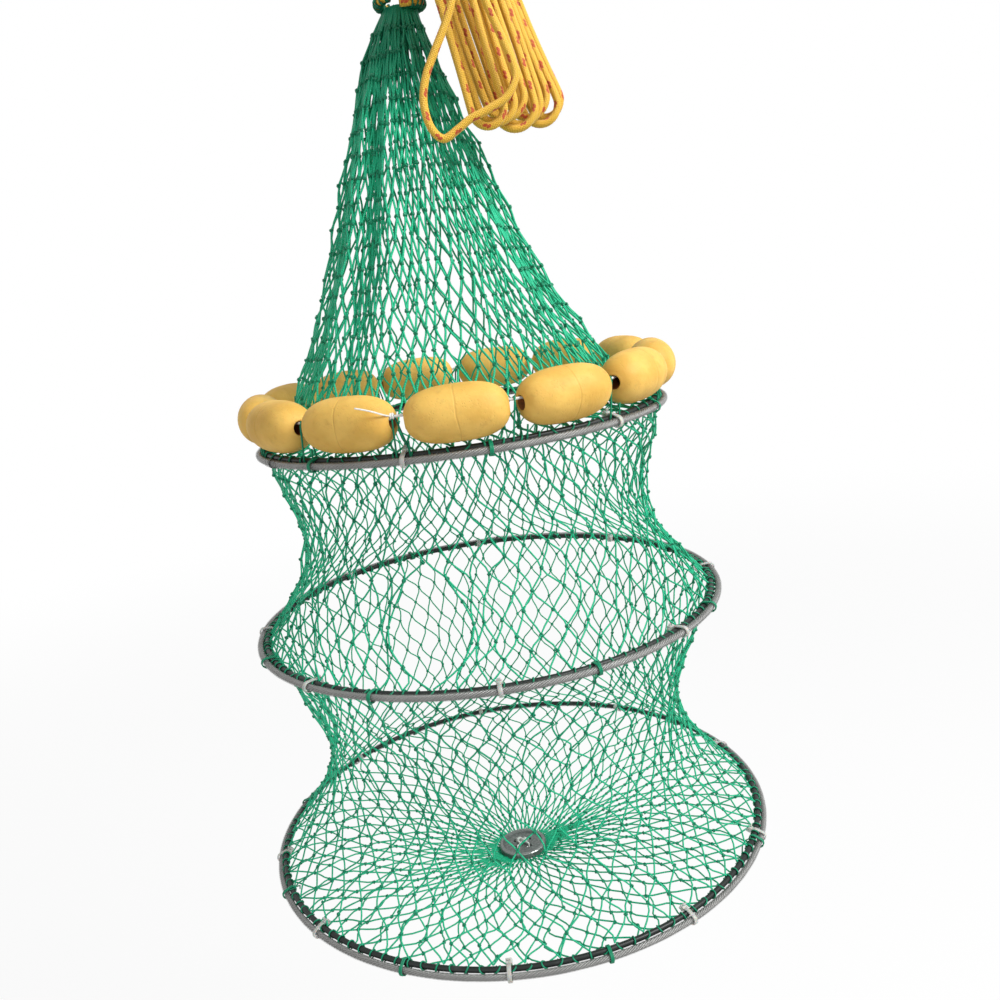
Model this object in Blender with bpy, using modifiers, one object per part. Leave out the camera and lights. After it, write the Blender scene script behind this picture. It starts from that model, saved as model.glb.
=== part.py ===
"""Floating fish basket: a keep net hung on three hoops, with foam floats round the top one.

The origin is the middle of the drawn-in mouth, where the basket hangs, and +Z is up.
Each hoop is a black tube with a sleeved wire rope strapped beside it by cable ties.
The net falls from the mouth to the top hoop, then in two waisted bays to the bottom hoop,
and its base is drawn in to a round sinker. All sizes are in metres.
"""
import math
from collections import namedtuple

import bmesh
import bpy
from mathutils import Matrix, Vector

# Lengths of the neck, the two bays and the drawn-in base
NECK_LENGTH = 0.319
UPPER_BAY = 0.171
LOWER_BAY = 0.225
BASE_DROP = 0.045

# Hoops: radius of each black tube's centre line, and of its section and its rope's
TOP_R, TOP_Z = 0.1715, -NECK_LENGTH
MID_R, MID_Z = 0.2055, TOP_Z - UPPER_BAY
LOW_R, LOW_Z = 0.235, MID_Z - LOWER_BAY
TUBE_R = 0.0025
ROPE_HOOP_R = 0.00325
GAP = 0.0003
TUBE_SIDES = 6
ROPE_HOOP_SIDES = 6

# Foam floats, threaded on a clear line just above the top hoop
FLOAT_LENGTH = 0.0745
FLOAT_SPACING = 0.0055
FLOAT_DIAMETER = 0.041
FLOAT_BORE = 0.0105
FLOAT_INSET = 0.003
FLOAT_RING_R = TOP_R - FLOAT_INSET
FLOAT_COUNT = int(2 * math.pi * FLOAT_RING_R / (FLOAT_LENGTH + FLOAT_SPACING))
FLOAT_CLEARANCE = 0.0022
FLOAT_RISE = FLOAT_DIAMETER / 2 + TUBE_R + FLOAT_CLEARANCE
FLOAT_SQUARENESS = 2.7
FLOAT_FACETS = 12
FLOAT_RINGS = 8
FIRST_GAP_ANGLE = math.radians(255.5)
LINE_R = 0.001

# Cable ties
TIE_WIDTH = 0.0036
TIE_THICK = 0.0012
TIE_HEAD = (0.0052, 0.0045, 0.0050)
TIE_HEAD_SINK = 0.0022
TIE_CORNERS = 8
TOP_TIES = FLOAT_COUNT // 2
MID_TIE_DEGREES = (0, 45, 90, 135, 180, 225, 270, 315)
LOW_TIE_DEGREES = (16, 54, 97, 139, 186, 219, 264, 302, 334)

# The wire rope lies against the outside of its tube, this many degrees above the tube's own level
Hoop = namedtuple("Hoop", "stem radius height facets rope_side")
TOP_HOOP = Hoop("top", TOP_R, TOP_Z, 40, -28)
MID_HOOP = Hoop("middle", MID_R, MID_Z, 40, -4)
LOW_HOOP = Hoop("bottom", LOW_R, LOW_Z, 44, -32)

# Net: coarse diamonds that stand for the knotted twine
NET_COLUMNS = 16
NET_BAR = 0.0015
NET_ANGLE = math.pi / NET_COLUMNS
EDGE_SHARE = 0.58
POINT_SHARE = 1.5
FLOAT_PASS_SHARE = 0.36

# Outline of each net between its seats. Neck: share of the way down, share of the top hoop's
# radius. Bays: share of the way down, and how far the waist is drawn in as a share of the radius.
NECK_SHARES = ((0.146, 0.211), (0.296, 0.316), (0.450, 0.411), (0.603, 0.516), (0.753, 0.650),
              (0.887, 0.796))
UPPER_SHARES = ((0.171, 0.050), (0.382, 0.148), (0.593, 0.168), (0.785, 0.113), (0.918, 0.044))
LOWER_SHARES = ((0.152, 0.082), (0.398, 0.199), (0.626, 0.215), (0.836, 0.124))
BASE_SHARES = ((0.25, 0.0), (0.55, 0.0), (0.82, 0.0))

# Sinker at the middle of the base
SINKER_R = 0.024
SINKER_RIM = 0.0035
SINKER_HEIGHT = 0.0064
SINKER_WEB = 0.0024
SINKER_EDGE = 0.0008
SINKER_Z = LOW_Z - BASE_DROP
SINKER_HOLE_R = 0.0032
SINKER_HOLE_PITCH_R = 0.0085
SINKER_FACETS = 20
SINKER_LINE_R = 0.0008
LACING_BEND = 0.0012

# Yellow rope: the cord round the mouth, and the hank beside it
CORD_R = 0.003
MOUTH_CORD_R = 0.0165
MOUTH_CORD_RISE = 0.0068
MOUTH_CORD_TAIL = 0.016
LOOP_POINTS = 24

# The hank's loops hang side by side, each a step further forward than the last and leaning less.
# Values in pairs are for the back loop and the front one.
HANK_LOOPS = 8
HANK_STEP = 0.0080
HANK_BACK = -0.0075
HANK_TOP = 0.024
HANK_TOP_HALF = 0.0135
HANK_FOOT_HALF = 0.0150
HANK_SIDE = (0.0674, 0.0336)
HANK_LEAN = (math.radians(18.6), math.radians(7.5))
HANK_DROP = 0.112
HANK_UNEVEN = 0.0035
HANK_UNEVEN_TURN = 2.2
LOOSE_STEP = 0.015


def clear_scene():
    for item in list(bpy.data.objects):
        bpy.data.objects.remove(item, do_unlink=True)


def material(name, colour, roughness, metallic=0.0):
    made = bpy.data.materials.new(name)
    made.use_nodes = True
    shader = made.node_tree.nodes["Principled BSDF"]
    shader.inputs["Base Color"].default_value = (*colour, 1.0)
    shader.inputs["Roughness"].default_value = roughness
    shader.inputs["Metallic"].default_value = metallic
    made.diffuse_color = (*colour, 1.0)
    return made


def collection(name):
    made = bpy.data.collections.new(name)
    bpy.context.scene.collection.children.link(made)
    return made


def smooth_edges(mesh):
    mesh.shade_smooth()
    mesh.set_sharp_from_angle(angle=math.radians(40))


def add_object(name, data, finish, home):
    """Link an object of this data to its collection, with its one material."""
    made = bpy.data.objects.new(name, data)
    if not data.materials:
        data.materials.append(finish)
    home.objects.link(made)
    return made


def torus(name, hoop, outside, above, minor, sides, finish, home):
    """A ring of round section, this far outside and above its hoop's centre line."""
    bpy.ops.mesh.primitive_torus_add(
        major_segments=hoop.facets, minor_segments=sides,
        major_radius=hoop.radius + outside, minor_radius=minor,
        location=(0, 0, hoop.height + above))
    made = bpy.context.active_object
    made.name = name
    made.data.name = name
    made.data.materials.append(finish)
    for holder in list(made.users_collection):
        holder.objects.unlink(made)
    home.objects.link(made)
    smooth_edges(made.data)
    return made


def rope_place(hoop):
    """How far the rope's centre line lies outside its tube's, and above it."""
    apart = TUBE_R + ROPE_HOOP_R + GAP + hoop_sag(hoop)
    side = math.radians(hoop.rope_side)
    return apart * math.cos(side), apart * math.sin(side)


def hoop_sag(hoop):
    """How far the flats of a faceted hoop lie inside its corners."""
    return hoop.radius * (1 - math.cos(math.pi / hoop.facets))


def tube_curve(name, points, radius, finish, home, resolution=1, closed=False):
    curve = bpy.data.curves.new(name, "CURVE")
    curve.dimensions = "3D"
    curve.bevel_depth = radius
    curve.bevel_resolution = resolution
    curve.use_fill_caps = not closed
    spline = curve.splines.new("POLY")
    spline.points.add(len(points) - 1)
    for target, point in zip(spline.points, points):
        target.co = (*point, 1.0)
    spline.use_cyclic_u = closed
    spline.use_smooth = True
    return add_object(name, curve, finish, home)


def smooth_route(points, spacing):
    """Points at even steps along a smooth curve through the given ones."""
    given = [Vector(p) for p in points]
    ends = [2 * given[0] - given[1]] + given + [2 * given[-1] - given[-2]]
    fine = []
    for i in range(1, len(ends) - 2):
        a, b, c, d = ends[i - 1:i + 3]
        for k in range(20):
            t = k / 20
            fine.append(0.5 * (2 * b + (c - a) * t + (2 * a - 5 * b + 4 * c - d) * t * t
                               + (3 * b - a - 3 * c + d) * t ** 3))
    fine.append(given[-1])
    total = sum((q - p).length for p, q in zip(fine, fine[1:]))
    count = max(2, round(total / spacing))
    route = [fine[0]]
    walked, target = 0.0, total / count
    for p, q in zip(fine, fine[1:]):
        step = (q - p).length
        while walked + step >= target and len(route) < count:
            route.append(p.lerp(q, (target - walked) / step))
            target += total / count
        walked += step
    route.append(fine[-1])
    return route


def least_self_gap(points, radius, skip):
    """Smallest gap of a tube to itself, past a stretch of the given length."""
    dense = smooth_route(points, 0.002)
    least = 1.0
    hop = int(skip / 0.002)
    for i, p in enumerate(dense):
        for q in dense[i + hop:]:
            least = min(least, (p - q).length)
    return least - 2 * radius


def route_length(points):
    return sum((Vector(q) - Vector(p)).length for p, q in zip(points, points[1:]))


def hull_outline(circles, corners):
    """Convex outline round circles (x, z, radius), anticlockwise."""
    points = []
    for x, z, radius in circles:
        reach = radius / math.cos(math.pi / corners)
        for k in range(corners):
            a = 2 * math.pi * (k + 0.5) / corners
            points.append((round(x + reach * math.cos(a), 7), round(z + reach * math.sin(a), 7)))
    points = sorted(set(points))
    sides = []
    for run in (points, points[::-1]):
        side = []
        for p in run:
            while len(side) > 1 and turn(side[-2], side[-1], p) <= 1e-9:
                side.pop()
            side.append(p)
        sides += side[:-1]
    return sides


def turn(a, b, c):
    return (b[0] - a[0]) * (c[1] - a[1]) - (b[1] - a[1]) * (c[0] - a[0])


def evaluated_mesh(item, name):
    graph = bpy.context.evaluated_depsgraph_get()
    mesh = bpy.data.meshes.new_from_object(item.evaluated_get(graph), depsgraph=graph)
    mesh.name = name
    return mesh


def tie_mesh(name, circles, head_place, head_turn, finish, home):
    """A cable tie: a flat strap round the circles, and its square head.

    It is drawn in the hoop's section, x outwards and y up, with the strap's width along z.
    """
    strap = bpy.data.curves.new(name, "CURVE")
    strap.dimensions = "2D"
    strap.fill_mode = "BOTH"
    strap.extrude = TIE_WIDTH / 2
    for clearance in (GAP, GAP + TIE_THICK):
        outline = hull_outline([(x, z, r + clearance) for x, z, r in circles], TIE_CORNERS)
        spline = strap.splines.new("POLY")
        spline.points.add(len(outline) - 1)
        for target, (x, z) in zip(spline.points, outline):
            target.co = (x, z, 0, 1)
        spline.use_cyclic_u = True
    shape = add_object(name + "_strap", strap, finish, home)
    band = evaluated_mesh(shape, name + "_band")
    bpy.data.objects.remove(shape, do_unlink=True)
    weld(band)
    tie = add_object(name + "_body", band, finish, home)
    box = bpy.data.meshes.new(name + "_head")
    cube = bmesh.new()
    place = Matrix.Translation((*head_place, 0)) @ Matrix.Rotation(head_turn, 4, "Z")
    bmesh.ops.create_cube(cube, size=1.0, matrix=place @ Matrix.Diagonal((*TIE_HEAD, 1)))
    cube.to_mesh(box)
    cube.free()
    head = add_object(name + "_head", box, finish, home)
    join = tie.modifiers.new("head", "BOOLEAN")
    join.operation = "UNION"
    join.solver = "EXACT"
    join.object = head
    mesh = evaluated_mesh(tie, name)
    for spare in (tie, head):
        bpy.data.objects.remove(spare, do_unlink=True)
    return mesh


def weld(mesh):
    work = bmesh.new()
    work.from_mesh(mesh)
    bmesh.ops.remove_doubles(work, verts=work.verts, dist=1e-6)
    bmesh.ops.recalc_face_normals(work, faces=work.faces)
    work.to_mesh(mesh)
    work.free()


def place_ties(stem, mesh, angles, finish, home):
    for number, angle in enumerate(angles, 1):
        tie = add_object(f"{stem}_tie_{number}", mesh, finish, home)
        tie.rotation_euler = (math.pi / 2, 0, angle)


def turned(name, outline, facets, finish, home):
    """An outline (radius, height), given down its outer side, turned about Z.

    It closes on itself, as round a bore, unless it starts and ends on the axis.
    """
    mesh = bpy.data.meshes.new(name)
    count = len(outline)
    last = count - 1 if outline[0][0] == 0 else count
    mesh.from_pydata([(r, 0, z) for r, z in outline], [(i, (i + 1) % count) for i in range(last)], [])
    made = add_object(name, mesh, finish, home)
    screw = made.modifiers.new("turn", "SCREW")
    screw.steps = facets
    screw.render_steps = facets
    screw.use_merge_vertices = True
    screw.merge_threshold = 0.00001
    screw.use_smooth_shade = True
    return made


def float_outline():
    """Half section of a float: rounded ends, a girth a little fuller than an ellipse, and a bore."""
    half, girth, bore = FLOAT_LENGTH / 2, FLOAT_DIAMETER / 2, FLOAT_BORE / 2
    power = FLOAT_SQUARENESS
    end = (1 - (bore / girth) ** power) ** (1 / power)
    outline = []
    for k in range(FLOAT_RINGS + 1):
        a = math.pi / 2 * (1 - 2 * k / FLOAT_RINGS)
        h = max(-end, min(end, math.copysign(abs(math.sin(a)) ** 0.8, a)))
        outline.append((girth * (1 - abs(h) ** power) ** (1 / power), half * h / end))
    return outline


def gap_angle(index):
    return FIRST_GAP_ANGLE + 2 * math.pi * index / FLOAT_COUNT


def floats_and_line(foam, clear, home):
    first = None
    height = TOP_Z + FLOAT_RISE
    for index in range(FLOAT_COUNT):
        angle = gap_angle(index + 0.5)
        if first is None:
            item = turned("float_1", float_outline(), FLOAT_FACETS, foam, home)
            first = item
        else:
            item = first.copy()
            item.name = f"float_{index + 1}"
            home.objects.link(item)
        item.location = (FLOAT_RING_R * math.cos(angle), FLOAT_RING_R * math.sin(angle), height)
        item.rotation_euler = (math.pi / 2, 0, angle)
    tube_curve("float_line", line_corners(), LINE_R, clear, home, closed=True)


def line_height():
    """The floats hang on the line, which touches the top of their bores."""
    return TOP_Z + FLOAT_RISE + FLOAT_BORE / 2 - LINE_R - GAP * 2


def line_corner_radius():
    return FLOAT_RING_R / math.cos(math.pi / FLOAT_COUNT)


def line_corners():
    reach = line_corner_radius()
    return [(reach * math.cos(gap_angle(k)), reach * math.sin(gap_angle(k)), line_height())
            for k in range(FLOAT_COUNT)]


def hoops(black, steel, home):
    for hoop in (TOP_HOOP, MID_HOOP, LOW_HOOP):
        torus(hoop.stem + "_hoop", hoop, 0.0, 0.0, TUBE_R, TUBE_SIDES, black, home)
        outside, above = rope_place(hoop)
        torus(hoop.stem + "_rope_hoop", hoop, outside, above, ROPE_HOOP_R, ROPE_HOOP_SIDES, steel, home)


def strapped(hoop):
    """Sections of a hoop's tube and rope, as circles to strap, that clear their corners and flats."""
    (outside, above), sag = rope_place(hoop), hoop_sag(hoop)
    return [(hoop.radius, hoop.height, TUBE_R + sag),
            (hoop.radius + outside, hoop.height + above, ROPE_HOOP_R + sag)]


def ties(nylon, home):
    """Straps round tube and rope. Those on the top hoop also hold the float line down."""
    for hoop, places in ((MID_HOOP, MID_TIE_DEGREES), (LOW_HOOP, LOW_TIE_DEGREES)):
        reach = TUBE_R + hoop_sag(hoop) + TIE_THICK + TIE_HEAD[1] / 2
        side = math.radians(hoop.rope_side + 180)
        head = (hoop.radius + reach * math.cos(side), hoop.height + reach * math.sin(side))
        mesh = tie_mesh(hoop.stem + "_tie", strapped(hoop), head, side + math.pi / 2, nylon, home)
        place_ties(hoop.stem, mesh, [math.radians(place) for place in places], nylon, home)
    sag = hoop_sag(TOP_HOOP)
    drift = TIE_WIDTH / 2 * math.tan(math.pi / FLOAT_COUNT)
    circles = strapped(TOP_HOOP) + [(line_corner_radius(), line_height(), LINE_R + drift)]
    inner = TOP_R - TUBE_R - sag - GAP - TIE_THICK
    head = (inner - TIE_HEAD[1] / 2 + TIE_HEAD_SINK, (TOP_Z + line_height()) / 2)
    mesh = tie_mesh("top_tie", circles, head, math.radians(90), nylon, home)
    place_ties("top", mesh, [gap_angle(2 * k) for k in range(TOP_TIES)], nylon, home)


def net_cage(rings, start):
    """Vertices and diamond faces of a net through rings of (radius, height).

    Every second ring is turned by half a mesh, as knotted netting is.
    """
    points, faces = [], []
    step = 2 * math.pi / NET_COLUMNS
    for i, (radius, height) in enumerate(rings):
        for j in range(NET_COLUMNS):
            a = start + step * (j + (i % 2) / 2)
            points.append((radius * math.cos(a), radius * math.sin(a), height))
    for i in range(1, len(rings) - 1):
        for j in range(NET_COLUMNS):
            right = (j + 1) % NET_COLUMNS
            across = right if i % 2 else j
            faces.append((i * NET_COLUMNS + j, (i - 1) * NET_COLUMNS + across,
                          i * NET_COLUMNS + right, (i + 1) * NET_COLUMNS + across))
    return points, faces


def net(name, rings, start, twine, home):
    points, faces = net_cage(rings, start)
    mesh = bpy.data.meshes.new(name)
    mesh.from_pydata(points, [], faces)
    made = add_object(name, mesh, twine, home)
    bars = made.modifiers.new("bars", "WIREFRAME")
    bars.thickness = NET_BAR
    bars.offset = 0
    bars.use_replace = True
    bars.use_even_offset = True
    bars.use_boundary = True
    return made


def seat(hoop, angle):
    """Where a net's edge lies against a hoop's tube, at this angle of its section, in degrees."""
    reach = TUBE_R + hoop_sag(hoop) + EDGE_SHARE * NET_BAR + GAP
    return (hoop.radius + reach * math.cos(math.radians(angle)),
            hoop.height + reach * math.sin(math.radians(angle)))


def bay(top, foot, shares):
    """Rings of a net between two seats, drawn in at the waist."""
    rings = [top]
    for down, waist in shares:
        radius = top[0] + (foot[0] - top[0]) * down
        rings.append((radius * (1 - waist), top[1] + (foot[1] - top[1]) * down))
    return rings + [foot]


def neck_rings():
    mouth = (MOUTH_CORD_R - CORD_R - EDGE_SHARE * NET_BAR - GAP, -MOUTH_CORD_RISE / 2)
    foot = seat(TOP_HOOP, 155)
    under_floats = (FLOAT_RING_R - FLOAT_DIAMETER / 2 - NET_BAR, TOP_Z + FLOAT_PASS_SHARE * FLOAT_RISE)
    rings = [(TOP_R * share, mouth[1] + (foot[1] - mouth[1]) * down) for down, share in NECK_SHARES]
    return [mouth] + rings + [under_floats, foot]


def nets(twine, home):
    """Nets of neck, bays and base, each as rings of (radius, height) from the top."""
    point = (SINKER_R + POINT_SHARE * NET_BAR + GAP, SINKER_Z)
    net("neck_net", neck_rings(), 0.0, twine, home)
    for name, top, foot, shares, start in (
            ("upper_net", seat(TOP_HOOP, 220), seat(MID_HOOP, 145), UPPER_SHARES, NET_ANGLE),
            ("lower_net", seat(MID_HOOP, 220), seat(LOW_HOOP, 135), LOWER_SHARES, NET_ANGLE),
            ("bottom_net", seat(LOW_HOOP, 220), point, BASE_SHARES, 0.0)):
        net(name, bay(top, foot, shares), start, twine, home)


def sinker(zinc, clear, home, cutters):
    """A dished round weight with four holes, like a button, laced with clear line."""
    half, web, inner = SINKER_HEIGHT / 2, SINKER_WEB / 2, SINKER_R - SINKER_RIM
    edge = SINKER_EDGE
    outline = [(0.0, web), (inner - edge, web), (inner, half), (SINKER_R - edge, half),
               (SINKER_R, half - edge), (SINKER_R, edge - half), (SINKER_R - edge, -half),
               (inner, -half), (inner - edge, -web), (0.0, -web)]
    disc = turned("sinker", outline, SINKER_FACETS, zinc, home)
    disc.location.z = SINKER_Z
    drill = bpy.data.meshes.new("sinker_holes")
    work = bmesh.new()
    for k in range(4):
        a = math.pi / 4 + k * math.pi / 2
        spot = Matrix.Translation((SINKER_HOLE_PITCH_R * math.cos(a), SINKER_HOLE_PITCH_R * math.sin(a),
                                   SINKER_Z))
        bmesh.ops.create_cone(work, cap_ends=True, segments=8, radius1=SINKER_HOLE_R,
                              radius2=SINKER_HOLE_R, depth=SINKER_HEIGHT, matrix=spot)
    work.to_mesh(drill)
    work.free()
    holes = add_object("sinker_holes", drill, zinc, cutters)
    holes.hide_render = True
    holes.display_type = "WIRE"
    cut = disc.modifiers.new("holes", "BOOLEAN")
    cut.operation = "DIFFERENCE"
    cut.solver = "EXACT"
    cut.object = holes
    tube_curve("sinker_line", lacing_route(), SINKER_LINE_R, clear, home, closed=True)


def lacing_route():
    """Two crossed stitches over the sinker, joined by two runs under it."""
    clear_of = SINKER_WEB / 2 + SINKER_LINE_R + GAP
    reach = SINKER_HOLE_PITCH_R * math.cos(math.pi / 4)
    bend = LACING_BEND
    route = []
    for side, lift in ((-1, 0.0), (1, 2 * SINKER_LINE_R + GAP)):
        over = clear_of + lift
        x, y = side * reach, -reach
        route += [(x, y, -clear_of + bend), (x, y, clear_of - bend), (x * 0.8, y * 0.8, over),
                  (-x * 0.8, -y * 0.8, over), (-x, -y, clear_of - bend), (-x, -y, -clear_of + bend),
                  (-x, -y * 0.75, -clear_of), (-x, y * 0.75, -clear_of)]
    return [(x, y, SINKER_Z + z) for x, y, z in route]


def mouth_cord_route():
    """One climbing turn round the drawn-in mouth, then a tail towards the hank."""
    route = []
    for k in range(LOOP_POINTS + 1):
        a = -math.pi / 2 + 2 * math.pi * k / LOOP_POINTS
        height = MOUTH_CORD_RISE * (k / LOOP_POINTS - 0.5)
        route.append((MOUTH_CORD_R * math.cos(a), MOUTH_CORD_R * math.sin(a), height))
    route.append((MOUTH_CORD_TAIL - 2 * CORD_R, -MOUTH_CORD_R, MOUTH_CORD_RISE / 2))
    route.append((MOUTH_CORD_TAIL, -MOUTH_CORD_R, MOUTH_CORD_RISE / 2))
    return route


def hank_point(loop, x, z):
    """A point of the hank, from the middle of that loop's top bend, in the loop's leaning plane."""
    share = loop / (HANK_LOOPS - 1)
    lean = HANK_LEAN[0] + (HANK_LEAN[1] - HANK_LEAN[0]) * share
    side = HANK_SIDE[0] + (HANK_SIDE[1] - HANK_SIDE[0]) * share
    return Vector((side + x * math.cos(lean) - z * math.sin(lean), HANK_BACK - loop * HANK_STEP,
                   HANK_TOP + x * math.sin(lean) + z * math.cos(lean)))


def top_bend(loop):
    """Over the top from left to right, and forward to the next loop's plane."""
    bend = []
    for k in range(7):
        a = math.pi * (1 - k / 6)
        bend.append(hank_point(loop + k / 6, HANK_TOP_HALF * math.cos(a), HANK_TOP_HALF * math.sin(a)))
    return bend


def hanging_loop(loop):
    """Down the right side, round the foot and up the left side."""
    drop = HANK_DROP + HANK_UNEVEN * math.sin(HANK_UNEVEN_TURN * loop)
    sides = [(HANK_TOP_HALF + (HANK_FOOT_HALF - HANK_TOP_HALF) * k / 6, -drop * k / 6) for k in range(1, 6)]
    foot = [(HANK_FOOT_HALF * math.cos(math.pi * k / 6), -drop - HANK_FOOT_HALF * math.sin(math.pi * k / 6))
            for k in range(7)]
    outline = sides + foot + [(-x, z) for x, z in reversed(sides)]
    return [hank_point(loop, x, z) for x, z in outline]


def hank_route():
    """In from the mouth cord behind the hank, through its loops, then one loose loop in front."""
    start_x, start_z = MOUTH_CORD_TAIL + GAP, MOUTH_CORD_RISE / 2
    route = [Vector((start_x, -MOUTH_CORD_R, start_z)), Vector((start_x + 2 * CORD_R, -MOUTH_CORD_R, start_z)),
             Vector((0.0340, -0.0125, 0.0075)), Vector((0.0460, -0.0050, 0.0125)),
             Vector((0.0545, 0.0005, 0.0175))]
    route += top_bend(-1)
    for loop in range(HANK_LOOPS):
        route += hanging_loop(loop) + top_bend(loop)
    front = HANK_BACK - HANK_STEP * HANK_LOOPS
    outline = [(0.0535, 0.0050), (0.0590, -0.0200), (0.0676, -0.0450), (0.0742, -0.0640),
               (0.0750, -0.0749), (0.0678, -0.0860), (0.0544, -0.0925), (0.0392, -0.0975),
               (0.0292, -0.1030), (0.0174, -0.1080), (0.0092, -0.0985), (0.0070, -0.0820),
               (0.0115, -0.0660), (0.0210, -0.0500), (0.0310, -0.0340), (0.0375, -0.0190),
               (0.0395, -0.0040)]
    loose = [route[-1]]
    for k, (x, z) in enumerate(outline):
        loose.append(Vector((x, front - 0.001 - CORD_R * 2 * k / (len(outline) - 1), z)))
    return route, loose


def hank(yellow, home):
    wound, loose = hank_route()
    route = wound + smooth_route(loose, LOOSE_STEP)[1:]
    tube_curve("rope_hank", route, CORD_R, yellow, home)
    print(f"rope hank: {route_length(route):.3f} m, least gap to itself "
          f"{1000 * least_self_gap(route, CORD_R, 0.02):.2f} mm")


def build():
    clear_scene()
    home = collection("floating_fish_basket")
    cutters = collection("cutters")
    black = material("black_tube", (0.02, 0.025, 0.025), 0.45)
    steel = material("sleeved_wire_rope", (0.42, 0.42, 0.41), 0.30, 0.6)
    nylon = material("nylon", (0.80, 0.81, 0.78), 0.35)
    foam = material("foam", (0.80, 0.55, 0.20), 0.70)
    clear = material("clear_line", (0.78, 0.80, 0.78), 0.20)
    twine = material("green_twine", (0.01, 0.38, 0.24), 0.50)
    zinc = material("zinc", (0.20, 0.22, 0.21), 0.45, 0.8)
    yellow = material("yellow_rope", (0.85, 0.60, 0.12), 0.60)
    hoops(black, steel, home)
    ties(nylon, home)
    floats_and_line(foam, clear, home)
    nets(twine, home)
    sinker(zinc, clear, home, cutters)
    tube_curve("drawcord", mouth_cord_route(), CORD_R, yellow, home)
    hank(yellow, home)


build()
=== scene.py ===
# %% [markdown]
# # Dressing a floating fish basket
# The basket's hoops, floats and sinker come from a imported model, the frame. It is loaded first and
# never moved. Everything made below is placed by that frame, in metres, with +Z up and the origin
# in the middle of the drawn-in mouth.

# %% Load the frame
import math
from collections import namedtuple

import bmesh
import bpy
import numpy as np
from mathutils import Matrix, Vector
from mathutils.geometry import convex_hull_2d


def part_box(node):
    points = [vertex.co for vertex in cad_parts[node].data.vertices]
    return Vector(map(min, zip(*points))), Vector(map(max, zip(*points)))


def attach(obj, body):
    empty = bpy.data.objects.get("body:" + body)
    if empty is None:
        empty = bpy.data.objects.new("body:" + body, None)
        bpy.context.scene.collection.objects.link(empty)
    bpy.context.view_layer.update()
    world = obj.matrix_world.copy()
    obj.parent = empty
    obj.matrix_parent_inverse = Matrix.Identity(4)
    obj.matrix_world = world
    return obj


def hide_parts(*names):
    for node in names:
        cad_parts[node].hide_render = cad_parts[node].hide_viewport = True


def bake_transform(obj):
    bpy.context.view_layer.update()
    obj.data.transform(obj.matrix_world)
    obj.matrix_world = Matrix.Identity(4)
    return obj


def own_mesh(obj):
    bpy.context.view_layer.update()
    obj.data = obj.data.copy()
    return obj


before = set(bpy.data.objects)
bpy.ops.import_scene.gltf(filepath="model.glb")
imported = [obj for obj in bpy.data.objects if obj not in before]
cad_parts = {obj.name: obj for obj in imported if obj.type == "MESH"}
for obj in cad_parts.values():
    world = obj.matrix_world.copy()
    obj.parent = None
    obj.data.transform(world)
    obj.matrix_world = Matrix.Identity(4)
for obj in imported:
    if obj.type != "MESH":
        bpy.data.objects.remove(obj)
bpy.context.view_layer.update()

# %% [markdown]
# ## Camera
# The photograph looks down at the basket from the front at about 18 degrees, and the basket leans
# a little in the picture. The camera was fitted to the three hoops: it has one place, one point that
# it aims at, a small roll, and a focal length in pixels of the 1000-pixel frame.

# %% Set the camera
FRAME_PX = 1000
FOCAL_PX = 924
AIM_PX = (487, 599)
SENSOR_MM = 36.0
CAMERA_PLACE = Vector((0.0, -0.8248, -0.2132))
CAMERA_AIM = Vector((0.0, 0.0, -0.490))
CAMERA_ROLL = math.radians(-8.37)


def placed(name, data):
    """A new object in the scene."""
    thing = bpy.data.objects.new(name, data)
    bpy.context.scene.collection.objects.link(thing)
    return thing


lens = bpy.data.cameras.new("camera")
lens.sensor_width = SENSOR_MM
lens.lens = FOCAL_PX / FRAME_PX * SENSOR_MM
lens.shift_x = 0.5 - AIM_PX[0] / FRAME_PX
lens.shift_y = AIM_PX[1] / FRAME_PX - 0.5
ahead = (CAMERA_AIM - CAMERA_PLACE).normalized()
level = ahead.cross(Vector((0, 0, 1))).normalized()
right = math.cos(CAMERA_ROLL) * level + math.sin(CAMERA_ROLL) * level.cross(ahead)
turn = Matrix((right, right.cross(ahead), -ahead)).transposed().to_4x4()
camera = placed("camera", lens)
camera.matrix_world = Matrix.Translation(CAMERA_PLACE) @ turn
bpy.context.scene.camera = camera
print("camera lens", round(lens.lens, 2), "mm")

# %% [markdown]
# ## Reading sizes off the frame
# Each hoop is a black tube and a wire rope that lies against its outside. Their radii are known, so
# the boxes of the two nodes give the hoop's radius, its height and the side on which the rope lies.

# %% Measure the hoops
TUBE_R = 0.0025
ROPE_HOOP_R = 0.00325
GAP = 0.0003
Hoop = namedtuple("Hoop", "stem body radius height rope_out rope_up")


def hoop_of(stem):
    tube_low, tube_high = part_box(stem + "_hoop")
    rope_low, rope_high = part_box(stem + "_rope_hoop")
    radius, height = tube_high.x - TUBE_R, (tube_low.z + tube_high.z) / 2
    reach = Vector((rope_high.x - ROPE_HOOP_R - radius, (rope_low.z + rope_high.z) / 2 - height))
    reach = reach.normalized() * (TUBE_R + ROPE_HOOP_R + GAP)
    return Hoop(stem, stem + "_ring", radius, height, reach.x, reach.y)


HOOPS = [hoop_of(stem) for stem in ("top", "middle", "bottom")]
TOP, MIDDLE, BOTTOM = HOOPS
for hoop in HOOPS:
    print(f"{hoop.stem} hoop: {2000 * hoop.radius:.0f} mm across, height {hoop.height:.3f} m")

# %% [markdown]
# ## Tubes along a path
# Rope, line and hoops are all tubes. This helper walks along a path, carries a pair of directions
# with as little turning as possible, and lays a ring of points round each step. It also writes a
# UV map that runs along the piece in metres and once round it, so that a braid can follow a bend.

# %% Tube helper
CORNERS = ((0, 0), (0, 1), (1, 1), (1, 0))
TURNED_CORNERS = ((0, 0), (1, 0), (1, 1), (0, 1))
CURVE_STEPS = 16


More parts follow.
